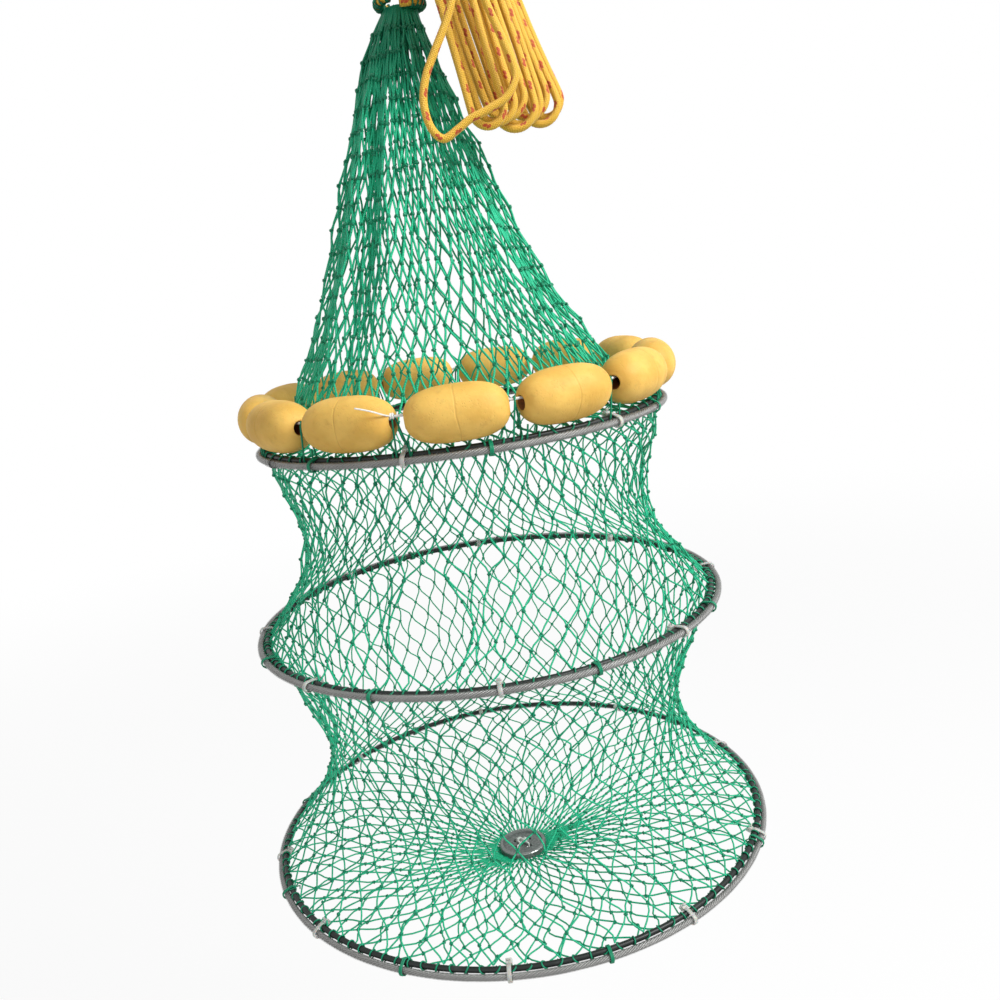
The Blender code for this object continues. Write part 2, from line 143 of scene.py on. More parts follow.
def polar(radius, angle, height):
    """Points at a radius and an angle round the basket's axis."""
    return np.stack(np.broadcast_arrays(radius * np.cos(angle), radius * np.sin(angle), height), axis=-1)


def mesh_of(name, points, edges=(), faces=()):
    mesh = bpy.data.meshes.new(name)
    mesh.from_pydata(np.asarray(points).tolist(), edges, faces)
    return mesh


def mark(mesh, name, values):
    """Store a number at each point, for a graph or a material to read."""
    values = np.full(len(mesh.vertices), values, np.float32)
    mesh.attributes.new(name, "FLOAT", "POINT").data.foreach_set("value", values)


def along(points):
    """Distance walked at each point of a path."""
    steps = np.linalg.norm(np.diff(np.asarray(points, float), axis=0), axis=1)
    return np.concatenate([[0.0], np.cumsum(steps)])


def even_steps(points, spacing, fewest):
    """Points at even steps along a path of straight pieces."""
    walked = along(points)
    at = np.linspace(0, walked[-1], max(fewest, round(walked[-1] / spacing)) + 1)
    return np.stack([np.interp(at, walked, column) for column in points.T], axis=1)


def even_path(points, spacing, closed=False):
    """Points at even steps on a smooth curve through the given ones."""
    given = np.asarray(points, float)
    if closed:
        ends = np.concatenate([given[-1:], given, given[:2]])
    else:
        ends = np.concatenate([[2 * given[0] - given[1]], given, [2 * given[-1] - given[-2]]])
    share = np.arange(0, 1, 1 / CURVE_STEPS)[:, None]
    fine = [0.5 * (2 * b + (c - a) * share + (2 * a - 5 * b + 4 * c - d) * share ** 2
                   + (3 * b - a - 3 * c + d) * share ** 3)
            for a, b, c, d in zip(ends, ends[1:], ends[2:], ends[3:])]
    even = even_steps(np.concatenate(fine + [ends[-2:-1]]), spacing, 2)
    return even[:-1] if closed else even


def carried_directions(path, closed):
    """Two directions square to a path, which turn as little as they can."""
    ahead, behind = np.roll(path, -1, axis=0), np.roll(path, 1, axis=0)
    if not closed:
        ahead[-1], behind[0] = path[-1], path[0]
    tangents = ahead - behind
    tangents /= np.linalg.norm(tangents, axis=1)[:, None]
    side = np.cross(tangents[0], (0, 0, 1.0))
    if np.linalg.norm(side) < 0.1:
        side = np.cross(tangents[0], (1.0, 0, 0))
    sides = []
    for tangent in tangents:
        side = side - tangent * (side @ tangent)
        side /= np.linalg.norm(side)
        sides.append(side)
    return np.array(sides), np.cross(tangents, sides)


def ring_faces(rings, sides, closed, corners=CORNERS):
    """Four-cornered faces between rings of points, and the ring and side where each one starts."""
    ring, side = np.divmod(np.arange((rings if closed else rings - 1) * sides), sides)
    faces = np.stack([(ring + a) % rings * sides + (side + b) % sides for a, b in corners], axis=1)
    return faces.tolist(), ring, side


def tube_mesh(name, path, radius, sides, closed=False, relief=0.0):
    """A closed tube. Relief lifts every second point, as the crowns of a braid do."""
    path = np.asarray(path, float)
    first, second = (direction[:, None] for direction in carried_directions(path, closed))
    rings, step = len(path), np.arange(sides)
    angle = (2 * math.pi * step / sides)[:, None]
    lift = relief * np.where((np.arange(rings)[:, None] + step) % 2, 1.0, -1.0)
    reach = (np.broadcast_to(radius, rings)[:, None] + lift)[..., None]
    points = path[:, None] + reach * (np.cos(angle) * first + np.sin(angle) * second)
    walked = along(np.concatenate([path, path[:1]]) if closed else path)
    faces, ring, side = ring_faces(rings, sides, closed)
    spots = np.stack([(walked[ring + a], (side + b) / sides) for a, b in CORNERS]).transpose(2, 0, 1)
    spots = spots.reshape(-1, 2)
    if not closed:
        faces += [step[::-1].tolist(), (step + (rings - 1) * sides).tolist()]
        spots = np.concatenate([spots, np.repeat([(0.0, 0.0), (walked[-1], 0.0)], sides, axis=0)])
    mesh = mesh_of(name, points.reshape(-1, 3), faces=faces)
    mesh.uv_layers.new(name="UVMap").data.foreach_set("uv", spots.astype(np.float32).ravel())
    mesh.shade_smooth()
    return mesh


def piece_of(name, mesh, finish):
    """An object at the origin with its one material, the given finish."""
    mesh.name = name
    mesh.materials.clear()
    mesh.materials.append(finish.material)
    piece = placed(name, mesh)
    print(f"{name}: {len(mesh.polygons)} faces")
    return piece

# %% [markdown]
# ## Writing materials as formulas
# A shader is easiest to read as a formula. A `Signal` wraps one output of a node, and arithmetic on
# it adds Math nodes. A `Recipe` holds a node tree and adds any other node by its type, its settings
# and what its sockets get. Both serve shaders and Geometry Nodes alike, which share the Math node.

# %% Signals and recipes
def maths(operation, swapped=False):
    """A method that adds a Math node."""
    def method(self, *others):
        values = (*others, self) if swapped else (self, *others)
        return self.recipe.add("ShaderNodeMath", dict(enumerate(values)), operation=operation)
    return method


class Signal:
    """An output of a node, on which Python's operators add Math nodes."""

    __add__ = __radd__ = maths("ADD")
    __sub__, __rsub__ = maths("SUBTRACT"), maths("SUBTRACT", swapped=True)
    __mul__ = __rmul__ = maths("MULTIPLY")
    __truediv__, __pow__ = maths("DIVIDE"), maths("POWER")
    wave, size = maths("SINE"), maths("ABSOLUTE")
    whole, part = maths("FLOOR"), maths("FRACT")
    most, above = maths("MAXIMUM"), maths("GREATER_THAN")

    def __init__(self, recipe, plug):
        self.recipe, self.plug = recipe, plug

    def sibling(self, name):
        """Another output of the same node."""
        return Signal(self.recipe, self.plug.node.outputs[name])

    def between(self, start, end):
        """0 before start, 1 after end, smooth between them."""
        sockets = {"Value": self, "From Min": start, "From Max": end}
        return self.recipe.add("ShaderNodeMapRange", sockets, interpolation_type="SMOOTHSTEP")


class Recipe:
    """A node tree that is written down step by step."""

    def __init__(self, tree):
        self.tree = tree

    def feed(self, socket, value):
        if isinstance(value, Signal):
            self.tree.links.new(value.plug, socket)
        else:
            socket.default_value = value

    def add(self, kind, sockets=(), output=0, **settings):
        """Add a node: its settings first, then what its sockets get."""
        node = self.tree.nodes.new(kind)
        for key, value in settings.items():
            setattr(node, key, value)
        for key, value in dict(sockets).items():
            self.feed(node.inputs[key], value)
        return Signal(self, node.outputs[output]) if node.outputs else None


class Finish(Recipe):
    """A material with one Principled shader. Constants go on the shader's own sockets."""

    def __init__(self, name, **constants):
        self.material = bpy.data.materials.new(name)
        self.material.use_nodes = True
        super().__init__(self.material.node_tree)
        for key, value in constants.items():
            self.set(key.replace("_", " ").title().replace("Ior", "IOR"), value)
        self.place = self.add("ShaderNodeTexCoord", output="Object")

    def set(self, socket, value):
        self.feed(self.tree.nodes["Principled BSDF"].inputs[socket], value)

    def read(self, name):
        """A number stored at the points of the mesh."""
        return self.add("ShaderNodeAttribute", output="Fac", attribute_name=name)

    def height(self):
        return self.add("ShaderNodeSeparateXYZ", {0: self.place}, output="Z")

    def noise(self, size, detail=2.0):
        """Cloudy noise with features of about this size in metres."""
        return self.add("ShaderNodeTexNoise", {"Vector": self.place, "Scale": 1 / size, "Detail": detail})

    def mix(self, factor, low, high):
        """A colour that goes from low to high."""
        low, high = (colour if isinstance(colour, Signal) else (*colour, 1.0) for colour in (low, high))
        return self.add("ShaderNodeMix", {0: factor, 6: low, 7: high}, output=2, data_type="RGBA")

    def colour(self, factor, low, high):
        self.set("Base Color", self.mix(factor, low, high))

    def bump(self, height, depth, strength=1.0):
        sockets = {"Height": height, "Distance": depth, "Strength": strength}
        self.set("Normal", self.add("ShaderNodeBump", sockets))


print("recipes ready")

# %% [markdown]
# ## The yellow rope
# One braided rope closes the mouth and hangs beside the neck as a hank. The route is fixed first,
# as a maker would lay it: out of the mouth, behind the hank, through eight loops that hang side by
# side and fan out, and round one loose loop in front. The loops come from a formula, and only the
# loose loop's points are listed one by one.

# %% Rope routes
CORD_R = 0.003
MOUTH_CORD_R = 0.0165
MOUTH_CORD_RISE = 0.0068
MOUTH_CORD_TAIL = 0.016
LOOP_POINTS = 24
BEND_STEPS = 6
HANK_LOOPS = 8
HANK_STEP = 0.0080
HANK_BACK = -0.0075
HANK_TOP = 0.024
HANK_TOP_HALF = 0.0135
HANK_SIDE = (0.0674, 0.0336)
HANK_LEAN = (math.radians(17.9), math.radians(10.3))
HANK_DROP = 0.1125
HANK_GATHER = 0.0011
HANK_BOW = 0.003
HANK_FOOT_HALF = 0.0121
HANK_FOOT_SWELL = 0.0032
HANK_UNEVEN = 0.0041
HANK_UNEVEN_BEAT = 2.1
HANK_SHIFT = 0.0011
HANK_SHIFT_BEAT = 1.6
HANK_LOOSE = 0.0020
HANK_LOOSE_PHASES = (4.1, 6.1)
LOOSE_GAP = 0.001
HANK_START = ((0.0340, -0.0125, 0.0075), (0.0460, -0.0050, 0.0125), (0.0545, 0.0005, 0.0175))
LOOSE_LOOP = ((0.0535, 0.0050), (0.0590, -0.0200), (0.0676, -0.0450), (0.0742, -0.0640),
              (0.0750, -0.0749), (0.0678, -0.0860), (0.0544, -0.0925), (0.0392, -0.0975),
              (0.0292, -0.1030), (0.0174, -0.1080), (0.0092, -0.0985), (0.0070, -0.0820),
              (0.0115, -0.0660), (0.0210, -0.0500), (0.0310, -0.0340), (0.0375, -0.0190),
              (0.0395, -0.0040))


def mouth_cord_route():
    """One climbing turn round the drawn-in mouth, then a tail towards the hank."""
    share = np.arange(LOOP_POINTS + 1) / LOOP_POINTS
    turn = polar(MOUTH_CORD_R, 2 * math.pi * share - math.pi / 2, MOUTH_CORD_RISE * (share - 0.5))
    return turn.tolist() + [(MOUTH_CORD_TAIL - back, -MOUTH_CORD_R, MOUTH_CORD_RISE / 2)
                            for back in (2 * CORD_R, 0)]


def hank_point(loop, x, z):
    """A point of the hank, from the middle of that loop's top bend, in the loop's leaning plane.

    Towards the feet the loops bow back a little and gather at the front one.
    """
    share = loop / (HANK_LOOPS - 1)
    side, lean = (first + (last - first) * share for first, last in (HANK_SIDE, HANK_LEAN))
    deep = min(1.0, max(0.0, -z / HANK_DROP))
    gathered = HANK_GATHER * (HANK_LOOPS - 1 - loop) * deep * deep * (3 - 2 * deep)
    return (side + x * math.cos(lean) - z * math.sin(lean),
            HANK_BACK - loop * HANK_STEP - gathered + HANK_BOW * math.sin(math.pi * deep),
            HANK_TOP + x * math.sin(lean) + z * math.cos(lean))


def half_turn():
    """Across and forward from one side to the other, for a half turn of radius 1."""
    turns = [math.pi * k / BEND_STEPS for k in range(BEND_STEPS + 1)]
    return [(math.cos(a), math.sin(a)) for a in turns]


def top_bend(loop):
    """Over the top from left to right, and forward to the next loop's plane."""
    return [hank_point(loop + k / BEND_STEPS, HANK_TOP_HALF * across, HANK_TOP_HALF * up)
            for k, (across, up) in enumerate(half_turn()[::-1])]


def hanging_loop(loop):
    """Down the right side, round the foot and up the left side, no two loops quite alike."""
    half = HANK_FOOT_HALF + HANK_FOOT_SWELL * math.sin(math.pi * loop / (HANK_LOOPS - 1))
    drop = HANK_DROP + HANK_UNEVEN * math.sin(HANK_UNEVEN_BEAT * loop)
    shift = HANK_SHIFT * math.sin(HANK_SHIFT_BEAT * loop)
    sides = []
    for sign, phase in zip((1, -1), HANK_LOOSE_PHASES):
        bow = HANK_LOOSE * math.sin(loop + phase)
        sides.append([(sign * (HANK_TOP_HALF + (half - HANK_TOP_HALF) * k) + bow * math.sin(math.pi * k)
                       + shift * k, -drop * k) for k in np.arange(1, BEND_STEPS) / BEND_STEPS])
    foot = [(half * across + shift, -drop - half * down) for across, down in half_turn()]
    return [hank_point(loop, x, z) for x, z in sides[0] + foot + sides[1][::-1]]


def hank_route():
    start = MOUTH_CORD_TAIL + GAP
    route = [(x, -MOUTH_CORD_R, MOUTH_CORD_RISE / 2) for x in (start, start + 2 * CORD_R)]
    route += [*HANK_START, *top_bend(-1)]
    for loop in range(HANK_LOOPS):
        route += hanging_loop(loop) + top_bend(loop)
    front = HANK_BACK - HANK_STEP * HANK_LOOPS - LOOSE_GAP
    return route + [(x, front - CORD_R * 2 * k / (len(LOOSE_LOOP) - 1), z)
                    for k, (x, z) in enumerate(LOOSE_LOOP)]


print("hank:", len(hank_route()), "points, mouth cord:", len(mouth_cord_route()))

# %% [markdown]
# A braid has sixteen strands that cross over and under each other. Here the rope's tube has sixteen
# sides, and every second point stands a little proud, so each crown of the braid is a real bump. The
# length of each cord is printed.

# %% Braid the rope
BRAID_SIDES = 16
BRAID_STEP = 0.00118
BRAID_RELIEF = 0.00012
FLECK_PITCH = 0.0078
FLECK_LONG = 0.0018
FLECK_WIDE = 0.0013
FLECK_TURN = 0.53
START_TAPER = 0.8
END_TAPER = (0.99, 0.9, 0.62)


def braided(name, route, finish):
    path = even_path(route, BRAID_STEP)
    radii = np.full(len(path), CORD_R - BRAID_RELIEF)
    radii[0] *= START_TAPER
    radii[-3:] *= END_TAPER
    mesh = tube_mesh(name, path, radii, BRAID_SIDES, relief=BRAID_RELIEF)
    print(f"{name}: {along(path)[-1]:.3f} m of rope")
    return piece_of(name, mesh, finish), path


# Yellow braid. A red tracer strand surfaces as a pair of flecks, on one side and then the other.
yellow = Finish("yellow_rope", roughness=0.50, sheen_weight=0.10, sheen_roughness=0.4)
run = yellow.add("ShaderNodeSeparateXYZ", {0: yellow.add("ShaderNodeUVMap")}, output="X")
turn = run.sibling("Y")
beat = run / FLECK_PITCH + (yellow.noise(0.030) - 0.5) * 0.35
off_run = (beat.part() - 0.5) * FLECK_PITCH
off_turn = ((turn - beat.whole() * FLECK_TURN + 0.5).part() - 0.5) * (2 * math.pi * CORD_R)
blots = []
for push in (-0.75, 0.75):
    long = (off_run + push * FLECK_LONG) / FLECK_LONG
    wide = (off_turn + push * FLECK_WIDE * 0.8 + off_run * 0.35) / FLECK_WIDE
    blots.append(1 - (long ** 2 + wide ** 2).between(0.75, 1.15))
crossing = (run * (math.pi / BRAID_STEP)).wave() * (turn * (BRAID_SIDES * math.pi)).wave()
body = yellow.mix(yellow.noise(0.02, 3.0), (0.84, 0.480, 0.024), (0.97, 0.650, 0.050))
crown = crossing.size()
# Painted shade: the creases between the braid's crowns are a deeper orange.
shaded = yellow.mix(crown.between(0.0, 0.6), (0.60, 0.260, 0.012), body)
# Painted highlight: the highest crowns of the braid are a pale yellow.
shaded = yellow.mix(crown.between(0.7, 1.0) * 0.7, shaded, (1.0, 0.80, 0.16))
yellow.colour(blots[0].most(blots[1]) * 0.94, shaded, (0.52, 0.052, 0.010))
fibre = (run * 9000 + turn * 260).wave() * 0.25
yellow.bump(crossing + fibre, 0.00025, 0.8)

hank, hank_path = braided("rope_hank_braid", hank_route(), yellow)
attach(hank, "neck")
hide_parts("rope_hank")
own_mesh(hank)

drawcord, _ = braided("drawcord_braid", mouth_cord_route(), yellow)
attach(drawcord, "neck")
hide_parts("drawcord")

# %% [markdown]
# ## Growing pieces with Geometry Nodes
# What repeats, or follows a path, is grown by Geometry Nodes. A `Graph` is a tree with named inputs.
# `grown` gives it a start mesh and its sizes, and keeps the result as a plain mesh, because a live
# tree full of instances wouldn't travel with the model.

# %% Geometry Nodes helpers
class Graph(Recipe):
    """A Geometry Nodes tree whose sizes are named inputs."""

    def __init__(self, name):
        super().__init__(bpy.data.node_groups.new(name, "GeometryNodeTree"))
        self.tree.interface.new_socket("Geometry", in_out="OUTPUT", socket_type="NodeSocketGeometry")
        self.entry = self.tree.nodes.new("NodeGroupInput")
        self.start = self.input("Geometry", "NodeSocketGeometry")

    def input(self, name, kind="NodeSocketFloat"):
        self.tree.interface.new_socket(name, in_out="INPUT", socket_type=kind)
        return Signal(self, self.entry.outputs[name])

    def read(self, name):
        """A number stored at the points of the start mesh."""
        return self.add("GeometryNodeInputNamedAttribute", {"Name": name}, data_type="FLOAT")

    def stored(self, geometry, name, value):
        sockets = {"Geometry": geometry, "Name": name, "Value": value}
        return self.add("GeometryNodeStoreNamedAttribute", sockets, data_type="FLOAT")

    def strand(self):
        """The start mesh's edges as curves, with the way along each stored as `run`."""
        curve = self.add("GeometryNodeMeshToCurve", {"Mesh": self.start})
        return self.stored(curve, "run", self.add("GeometryNodeSplineParameter", output="Length"))

    def swept(self, curve, radius, sides):
        """A tube of that radius round each curve."""
        ring = self.add("GeometryNodeCurvePrimitiveCircle", {"Resolution": sides, "Radius": radius})
        sockets = {"Curve": curve, "Profile Curve": ring, "Fill Caps": True}
        return self.add("GeometryNodeCurveToMesh", sockets)

    def copies(self, points, model, **sockets):
        return self.add("GeometryNodeInstanceOnPoints", {"Points": points, "Instance": model, **sockets})

    def joined(self, *parts):
        together = self.add("GeometryNodeJoinGeometry")
        for part in reversed(parts):
            self.feed(together.plug.node.inputs["Geometry"], part)
        return together

    def close(self, geometry):
        """End the tree: real geometry, smooth shading and one material."""
        real = self.add("GeometryNodeRealizeInstances", {"Geometry": geometry})
        smooth = self.add("GeometryNodeSetShadeSmooth", {"Geometry": real})
        finish = self.input("Finish", "NodeSocketMaterial")
        done = self.add("GeometryNodeSetMaterial", {"Geometry": smooth, "Material": finish})
        self.feed(self.tree.nodes.new("NodeGroupOutput").inputs["Geometry"], done)
        print(self.tree.name, "has", len(self.tree.nodes), "nodes")


def grown(name, mesh, graph, finish, slot, **sizes):
    """Run a graph on a start mesh. Sizes are its inputs by name, with _ for a space."""
    start = placed(name + "_start", mesh)
    modifier = start.modifiers.new("grow", "NODES")
    modifier.node_group = graph.tree
    wanted = {key.replace("_", " "): value for key, value in sizes.items()}
    wanted["Finish"] = finish.material
    for item in graph.tree.interface.items_tree:
        if item.in_out == "INPUT" and item.name in wanted:
            modifier[item.identifier] = wanted[item.name]
    result = bpy.data.meshes.new_from_object(start.evaluated_get(bpy.context.evaluated_depsgraph_get()))
    start.modifiers.clear()
    bpy.data.objects.remove(start)
    return piece_of(name, result, finish)


def line_mesh(name, lines, closed=False):
    """Loose edges along lines, which all have the same number of points."""
    here = np.arange(lines.size // 3).reshape(lines.shape[:2])
    pairs = np.stack([here, np.roll(here, -1, axis=1)], axis=-1)
    pairs = pairs if closed else pairs[:, :-1]
    return mesh_of(name, lines.reshape(-1, 3), pairs.reshape(-1, 2).tolist())


print("graphs ready")

# %% [markdown]
# ## Knotted twine
# The net is hand-knotted nylon twine. Each start edge becomes twine, and each marked point gets a
# small coil of one and a half turns, turned at random, which reads as a tight knot. The knot has few
# faces, because there are thousands of them. An attribute marks the knot for a painted shade in the
# material.

# %% Twine graph and finish
TWINE_R = 0.00076
NECK_TWINE_R = 0.00092
KNOT_R = 0.00120
KNOT_TALL = 0.0017
TWINE_LAY = 0.0019

# Green twine, a little uneven in its dye, with the lay of its strands. Lighter flecks are painted
# highlights, and the knots, the lashings and the net towards the mouth get a painted darker shade.
twine = Finish("green_twine", roughness=0.45, specular_ior_level=0.30)
dyed = twine.mix(twine.noise(0.035, 3.0), (0.003, 0.300, 0.145), (0.008, 0.440, 0.225))
fibre = twine.noise(0.0012, 2.0)
# Painted highlight: lighter green flecks from the fibre noise stand for light caught on the twine.
body = twine.mix(fibre.between(0.35, 0.75), dyed, (0.012, 0.500, 0.260))
# Painted shade: twine marked as wound (knots, lashings, edge loops) is painted a darker green.
body = twine.mix(twine.read("wound") * 0.80, body, (0.002, 0.170, 0.085))
# Painted shade: the twine turns darker green towards the mouth at the top of the neck.
mouth_painted_shade = twine.height().between(-0.095, -0.015)
twine.colour(mouth_painted_shade * 0.75, body, (0.001, 0.110, 0.050))
lay = (twine.read("run") * (2 * math.pi / TWINE_LAY)).wave()
twine.bump(lay * 0.6 + fibre, 0.00020, 0.7)

knotted = Graph("knotted_twine")
radius = knotted.input("Twine radius")
knot_radius = knotted.input("Knot radius")
tall = knotted.input("Knot height")
seed = knotted.input("Seed", "NodeSocketInt")
coil = knotted.add("GeometryNodeCurveSpiral", {"Resolution": 6, "Rotations": 1.5, "Height": tall,
                                               "Start Radius": knot_radius,
                                               "End Radius": knot_radius * 0.7})
drop = knotted.add("ShaderNodeCombineXYZ", {"Z": tall * -0.5})
coil = knotted.add("GeometryNodeTransform", {"Geometry": coil, "Translation": drop})
# Marks the knot's coil as wound, for the painted shade in the twine's material.
wound = knotted.stored(knotted.swept(coil, radius * 1.15, 4), "wound", 1.0)
turn = knotted.add("FunctionNodeRandomValue", {0: (0, 0, 0), 1: (6.28, 6.28, 6.28), "Seed": seed},
                   data_type="FLOAT_VECTOR")
knots = knotted.copies(knotted.start, wound, Selection=knotted.read("knot").above(0.5), Rotation=turn)
knotted.close(knotted.joined(knotted.swept(knotted.strand(), radius, 5), knots))

# %% [markdown]
# ## The shape of the net
# The four nets have one mesh of sixty columns. Each family of strands zigzags down the net, one
# leaning left and the other right, and they meet at the knots. A strand's place is a column and a
# share of the way down an outline. The outline comes from the same seats and waists as the frame's
# nets. Three things keep it from looking machine-made: knots wander, bars bow, and columns crowd.

# %% Outlines of the nets
COLUMNS = 60
EDGE_REACH = TUBE_R + 0.0008
FLOAT_RING_R = TOP.radius - 0.003
FLOAT_GIRTH_R = 0.0205
FLOAT_RISE = 0.0252
SINKER_R = 0.024
SINKER_Z = sum(corner.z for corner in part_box("sinker")) / 2
UNDER_SINKER = ((SINKER_R + 0.0022, -0.0018), (SINKER_R - 0.002, -0.0043), (0.0055, -0.0046))
UNDER_FLOATS = (FLOAT_RING_R - FLOAT_GIRTH_R - 0.0015, TOP.height + 0.36 * FLOAT_RISE)
MOUTH = (0.0121, -0.0034)
NECK_SHARES = ((0.146, 0.176), (0.296, 0.272), (0.450, 0.377), (0.603, 0.493), (0.753, 0.630),
               (0.887, 0.782))
UPPER_SHARES = ((0.171, 0.050), (0.382, 0.148), (0.593, 0.168), (0.785, 0.113), (0.918, 0.044))
LOWER_SHARES = ((0.152, 0.082), (0.398, 0.199), (0.626, 0.215), (0.836, 0.124))


def seat(hoop, degrees):
    """Where a net's edge lies on a hoop's tube, at this angle of its section."""
    a = math.radians(degrees)
    return (hoop.radius + EDGE_REACH * math.cos(a), hoop.height + EDGE_REACH * math.sin(a))


def bay_outline(top, foot, shares):
    """A waisted bay: each share is the way down and how much narrower the net is there."""
    waist = [((top[0] + (foot[0] - top[0]) * down) * (1 - narrow), top[1] + (foot[1] - top[1]) * down)
             for down, narrow in shares]
    return [top, *waist, foot]


def neck_outline():
    foot = seat(TOP, 155)
    slope = [(TOP.radius * share, MOUTH[1] + (foot[1] - MOUTH[1]) * down) for down, share in NECK_SHARES]
    return [MOUTH, *slope, UNDER_FLOATS, foot]


def base_outline():
    """From the bottom hoop to the sinker's edge, and on beneath it to a gather."""
    radius, height = seat(BOTTOM, 220)
    slope = [(radius + (UNDER_SINKER[0][0] - radius) * down, height + (SINKER_Z - height) * down)
             for down in (0, 0.25, 0.5, 0.75)]
    return slope + [(reach, SINKER_Z + rise) for reach, rise in UNDER_SINKER]


def outline_curve(outline):
    """Radius and height at any share of the way down, at an even pace."""
    walk = even_path([(radius, 0.0, height) for radius, height in outline], 0.002)
    pace = np.linspace(0, 1, len(walk))
    return lambda share: (np.interp(share, pace, walk[:, 0]), np.interp(share, pace, walk[:, 2]))


print("neck outline:", len(neck_outline()), "points, base outline:", len(base_outline()))

# %% [markdown]
# The columns aren't evenly spread. They crowd together at the front of the top hoop, pleat in the
# neck, and bunch at two sides of the sinker. All of this is done with sums of sines that move a
# column's angle but never let two columns swap.

# %% Crowding and pleats
FRONT = math.radians(270)
COLUMN_SHIFT = -0.88
TOP_CROWD = 0.28
PLEATS = 11
PLEAT_DEEP = 0.0036
BUNCHES = ((math.radians(12), 1.0), (math.radians(219), 0.5))


def column_angle(column, crowd):
    """A column's angle, crowded towards the front of the basket."""
    angle = 2 * math.pi * (column + COLUMN_SHIFT) / COLUMNS
    return angle - crowd * np.sin(angle - FRONT)


def drift_of(angle, strength, waves, phase):
    """How far columns drift to and fro on waves round the basket."""
    return strength * np.sin(waves * angle + phase) / waves


def neck_place(column, share):
    """Crowded and pleated: the pleats lean, and fade out at the mouth and at the hoop."""
    angle = column_angle(column, TOP_CROWD)
    fold = np.sin(math.pi * share) ** 0.7
    lean = 0.7 + 2.4 * share
    angle = angle + fold * drift_of(angle, 0.20, PLEATS, lean)
    angle = angle + fold * drift_of(angle, 0.24, 4, share - 1.1)
    return angle, PLEAT_DEEP * fold * np.cos(PLEATS * angle + lean)


def upper_place(column, share):
    waist = np.sin(math.pi * share)
    crowd = TOP_CROWD * (1 - share) - 0.36 * np.sin(math.pi * share ** 0.8)
    return column_angle(column, crowd) + 0.02 * waist, 0.0015 * waist * np.sin(3 * column)


def lower_place(column, share):
    angle = column_angle(column, 0.0)
    waist = np.sin(math.pi * share)
    return angle + waist * drift_of(angle, 0.30, 5, 0.6), 0.0020 * waist * np.sin(7 * angle)


def base_place(column, share):
    """Bunched at two sides of the sinker, more and more towards it."""
    angle = column_angle(column, 0.0)
    pull = 0.62 * np.clip((share - 0.25) / 0.6, 0, 1) ** 1.5
    for bunch, strength in BUNCHES:
        off = angle - bunch
        angle = angle - strength * pull * np.sin(off) * np.exp(2.2 * (np.cos(off) - 1))
    return angle, np.zeros_like(angle)


print("widest column at the top hoop:", round(2 * math.pi / COLUMNS * TOP.radius * (1 + TOP_CROWD), 4), "m")

# %% [markdown]
# The front of the upper bay has a slit, where a catch is put in. Its two edges are chains of bars that
# hang nearly straight, and the columns beside them are pushed aside. The slit is a warp as well: a
# column's distance from the slit grows, most at the middle of its height. A strand keeps to its side.

# %% Strands
SLIT_COLUMN = 43.5
SLIT_RINGS = (5.0, 11.0)
SLIT_HALF = 1.62
BAR_STEPS = 3
BAR_BOW = 0.07
NECK_SWAY = -0.0095
PROUD = 0.015
CROSS_LIFT = TWINE_R * 0.6
Weave = namedtuple("Weave", "rows place seed wander twine slit sway", defaults=(0.09, TWINE_R, False, 0.0))


def off_slit(column):
    return (column - SLIT_COLUMN + COLUMNS / 2) % COLUMNS - COLUMNS / 2


def slit_warp(column, ring, side):
    low, high = SLIT_RINGS
    share = np.clip((ring - low) / (high - low), 0, 1)
    half = SLIT_HALF * np.sin(math.pi * share ** 1.15) ** 0.8
    off = off_slit(column)
    wide = (np.abs(off) ** 2.5 + half ** 2.5) ** 0.4
    return column - off + np.where(side > 0, wide, -wide)


def strands(outline, weave):
    """Every strand of a net, and the knots on it."""
    curve, rows = outline_curve(outline), weave.rows
    chance = np.random.default_rng(weave.seed)
    wander = chance.normal(size=(rows + 1, 2 * COLUMNS, 3)) * weave.wander
    wander[[0, -1], :, 1:] = 0
    steps = np.arange(rows * BAR_STEPS + 1)
    ring = steps // BAR_STEPS
    part = steps / BAR_STEPS - ring
    following = np.minimum(ring + 1, rows)
    eased = part + 0.5 * (part * part * (3 - 2 * part) - part)
    lean, column = np.array([[[1]], [[-1]]]), np.arange(COLUMNS)[:, None]
    here, there = (column + lean * 0.5 * (r % 2) for r in (ring, following))
    drift, drift_there = (wander[r, np.round(2 * c).astype(int) % (2 * COLUMNS)]
                          for r, c in ((ring, here), (following, there)))
    drift = drift * (1 - eased)[:, None] + drift_there * eased[:, None]
    bow = chance.normal(size=(2, COLUMNS, rows + 1)) * BAR_BOW
    bow = np.repeat(bow, BAR_STEPS, axis=2)[..., :len(steps)]
    at = here + (there - here) * eased + drift[..., 0] + bow * np.sin(math.pi * part)
    if weave.slit:
        at = slit_warp(at, steps / BAR_STEPS, off_slit(column + lean * 0.25))
    share = np.clip((steps / BAR_STEPS + drift[..., 1]) / rows, 0, 1)
    angle, proud = weave.place(at, share)
    radius, height = curve(share)
    radius = radius + proud + drift[..., 2] * PROUD
    radius = radius + lean * CROSS_LIFT * np.cos(math.pi * part) ** 2
    lines = polar(radius, angle, height)
    lines[..., 0] += weave.sway * np.sin(math.pi * share ** 0.7)
    split = weave.slit & (abs(column - SLIT_COLUMN) < 0.6) & (steps > SLIT_RINGS[0] * BAR_STEPS)
    knots = (part == 0) & (ring > 0) & (ring < rows) & ((lean > 0) | split)
    return lines.reshape(2 * COLUMNS, -1, 3), knots.ravel()


def net_piece(name, outline, weave):
    lines, knots = strands(outline, weave)
    mesh = line_mesh(name, lines)
    mark(mesh, "knot", knots)
    return grown(name, mesh, knotted, twine, "green_twine", Twine_radius=weave.twine,
                 Knot_radius=KNOT_R, Knot_height=KNOT_TALL, Seed=weave.seed)


